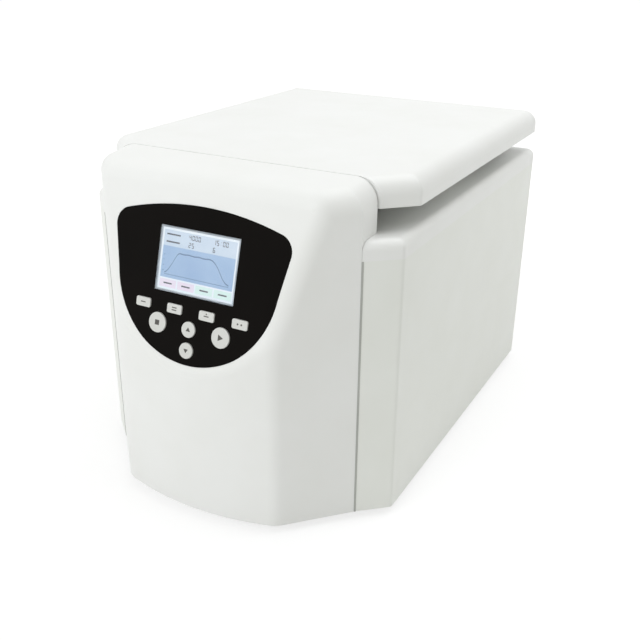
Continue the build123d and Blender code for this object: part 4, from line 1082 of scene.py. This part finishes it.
def make_world():
    """An even pale ambient light, and a white background where it is seen directly."""
    world = bpy.data.worlds.new("studio")
    bpy.context.scene.world = world
    world.use_nodes = True
    tree = world.node_tree
    tree.nodes.clear()
    ambient = add_node(tree, "Background", {"Color": ambient_colour, "Strength": ambient_strength})
    white = add_node(tree, "Background", {"Color": (1, 1, 1, 1), "Strength": 1.0})
    choice = {0: shown_directly(tree), 1: ambient.outputs[0], 2: white.outputs[0]}
    mixed = add_node(tree, "MixShader", choice)
    add_node(tree, "OutputWorld", {0: mixed.outputs[0]})


def make_floor():
    """A wide pale floor that stays near white and keeps a soft shadow."""
    made = bmesh.new()
    bmesh.ops.create_circle(made, cap_ends=True, segments=128, radius=floor_radius)
    mesh = bpy.data.meshes.new("floor")
    made.to_mesh(mesh)
    made.free()
    material = bpy.data.materials.new("floor_paint")
    material.use_nodes = True
    tree = material.node_tree
    tree.nodes.clear()
    place = own_place(tree)
    colour = colour_between(tree, noise(tree, place, 3.0), tone(232, 232, 231), tone(234, 234, 233))
    matt = add_node(tree, "BsdfDiffuse", {"Color": colour})
    faded = blended(tree, floor_share, (0, 0, 0, 1), colour)
    shaded = add_node(tree, "BsdfDiffuse", {"Color": faded})
    reach = add_node(tree, "VectorMath", {0: place}, operation="LENGTH").outputs["Value"]
    limits = {
        "From Min": floor_fade[0],
        "From Max": floor_fade[1],
        "To Min": floor_glow_near,
        "To Max": floor_glow_far,
    }
    glow_level = add_node(tree, "MapRange", {"Value": reach, **limits}).outputs[0]
    glow = add_node(tree, "Emission", {"Color": (1, 1, 1, 1), "Strength": glow_level})
    seen = add_node(tree, "AddShader", {0: shaded.outputs[0], 1: glow.outputs[0]})
    choice = {0: shown_directly(tree), 1: matt.outputs[0], 2: seen.outputs[0]}
    mixed = add_node(tree, "MixShader", choice)
    add_node(tree, "OutputMaterial", {0: mixed.outputs[0]})
    mesh.materials.append(material)
    floor = bpy.data.objects.new("floor", mesh)
    bpy.context.scene.collection.objects.link(floor)


def make_camera():
    """The camera at the photograph's viewing angle."""
    data = bpy.data.cameras.new("camera")
    data.sensor_width = camera_sensor
    data.lens = camera_lens
    data.shift_y = -axis_above_middle / picture_height
    camera = bpy.data.objects.new("camera", data)
    flat = Vector((sin(camera_azimuth), -cos(camera_azimuth), 0))
    back = flat * cos(camera_elevation) + Vector((0, 0, sin(camera_elevation)))
    level = Vector((cos(camera_azimuth), sin(camera_azimuth), 0))
    upright = back.cross(level)
    right = level * cos(camera_roll) + upright * sin(camera_roll)
    up = upright * cos(camera_roll) - level * sin(camera_roll)
    turn = Matrix((right, up, back)).transposed().to_4x4()
    camera.matrix_world = Matrix.Translation(camera_place) @ turn
    bpy.context.scene.collection.objects.link(camera)
    bpy.context.scene.camera = camera


make_camera()
make_world()
make_floor()
add_softbox("key_light", key_place, key_size, key_power, in_gloss=False)
add_softbox("top_light", top_place, top_size, top_power)
add_softbox("fill_light", fill_place, fill_size, fill_power, in_gloss=False)

make_screen_picture()
make_key_legends()
make_gasket()
make_pads("rubber_feet", "feet", axis=2, groove=0.8 * MM)
make_pads("rubber_bumpers", "rear_bumpers", axis=1, groove=0.6 * MM)
cross_screw = screw_pattern()
make_screws("cabinet_screw_set", "cabinet_screws", "chassis", cross_screw)
make_screws("liner_screw_set", "liner_screws", "lid", cross_screw)
make_pocket_numerals()
make_fan_guard()
make_gap_shade_beads()
make_switch_marks()

bpy.context.scene.view_settings.view_transform = "Standard"
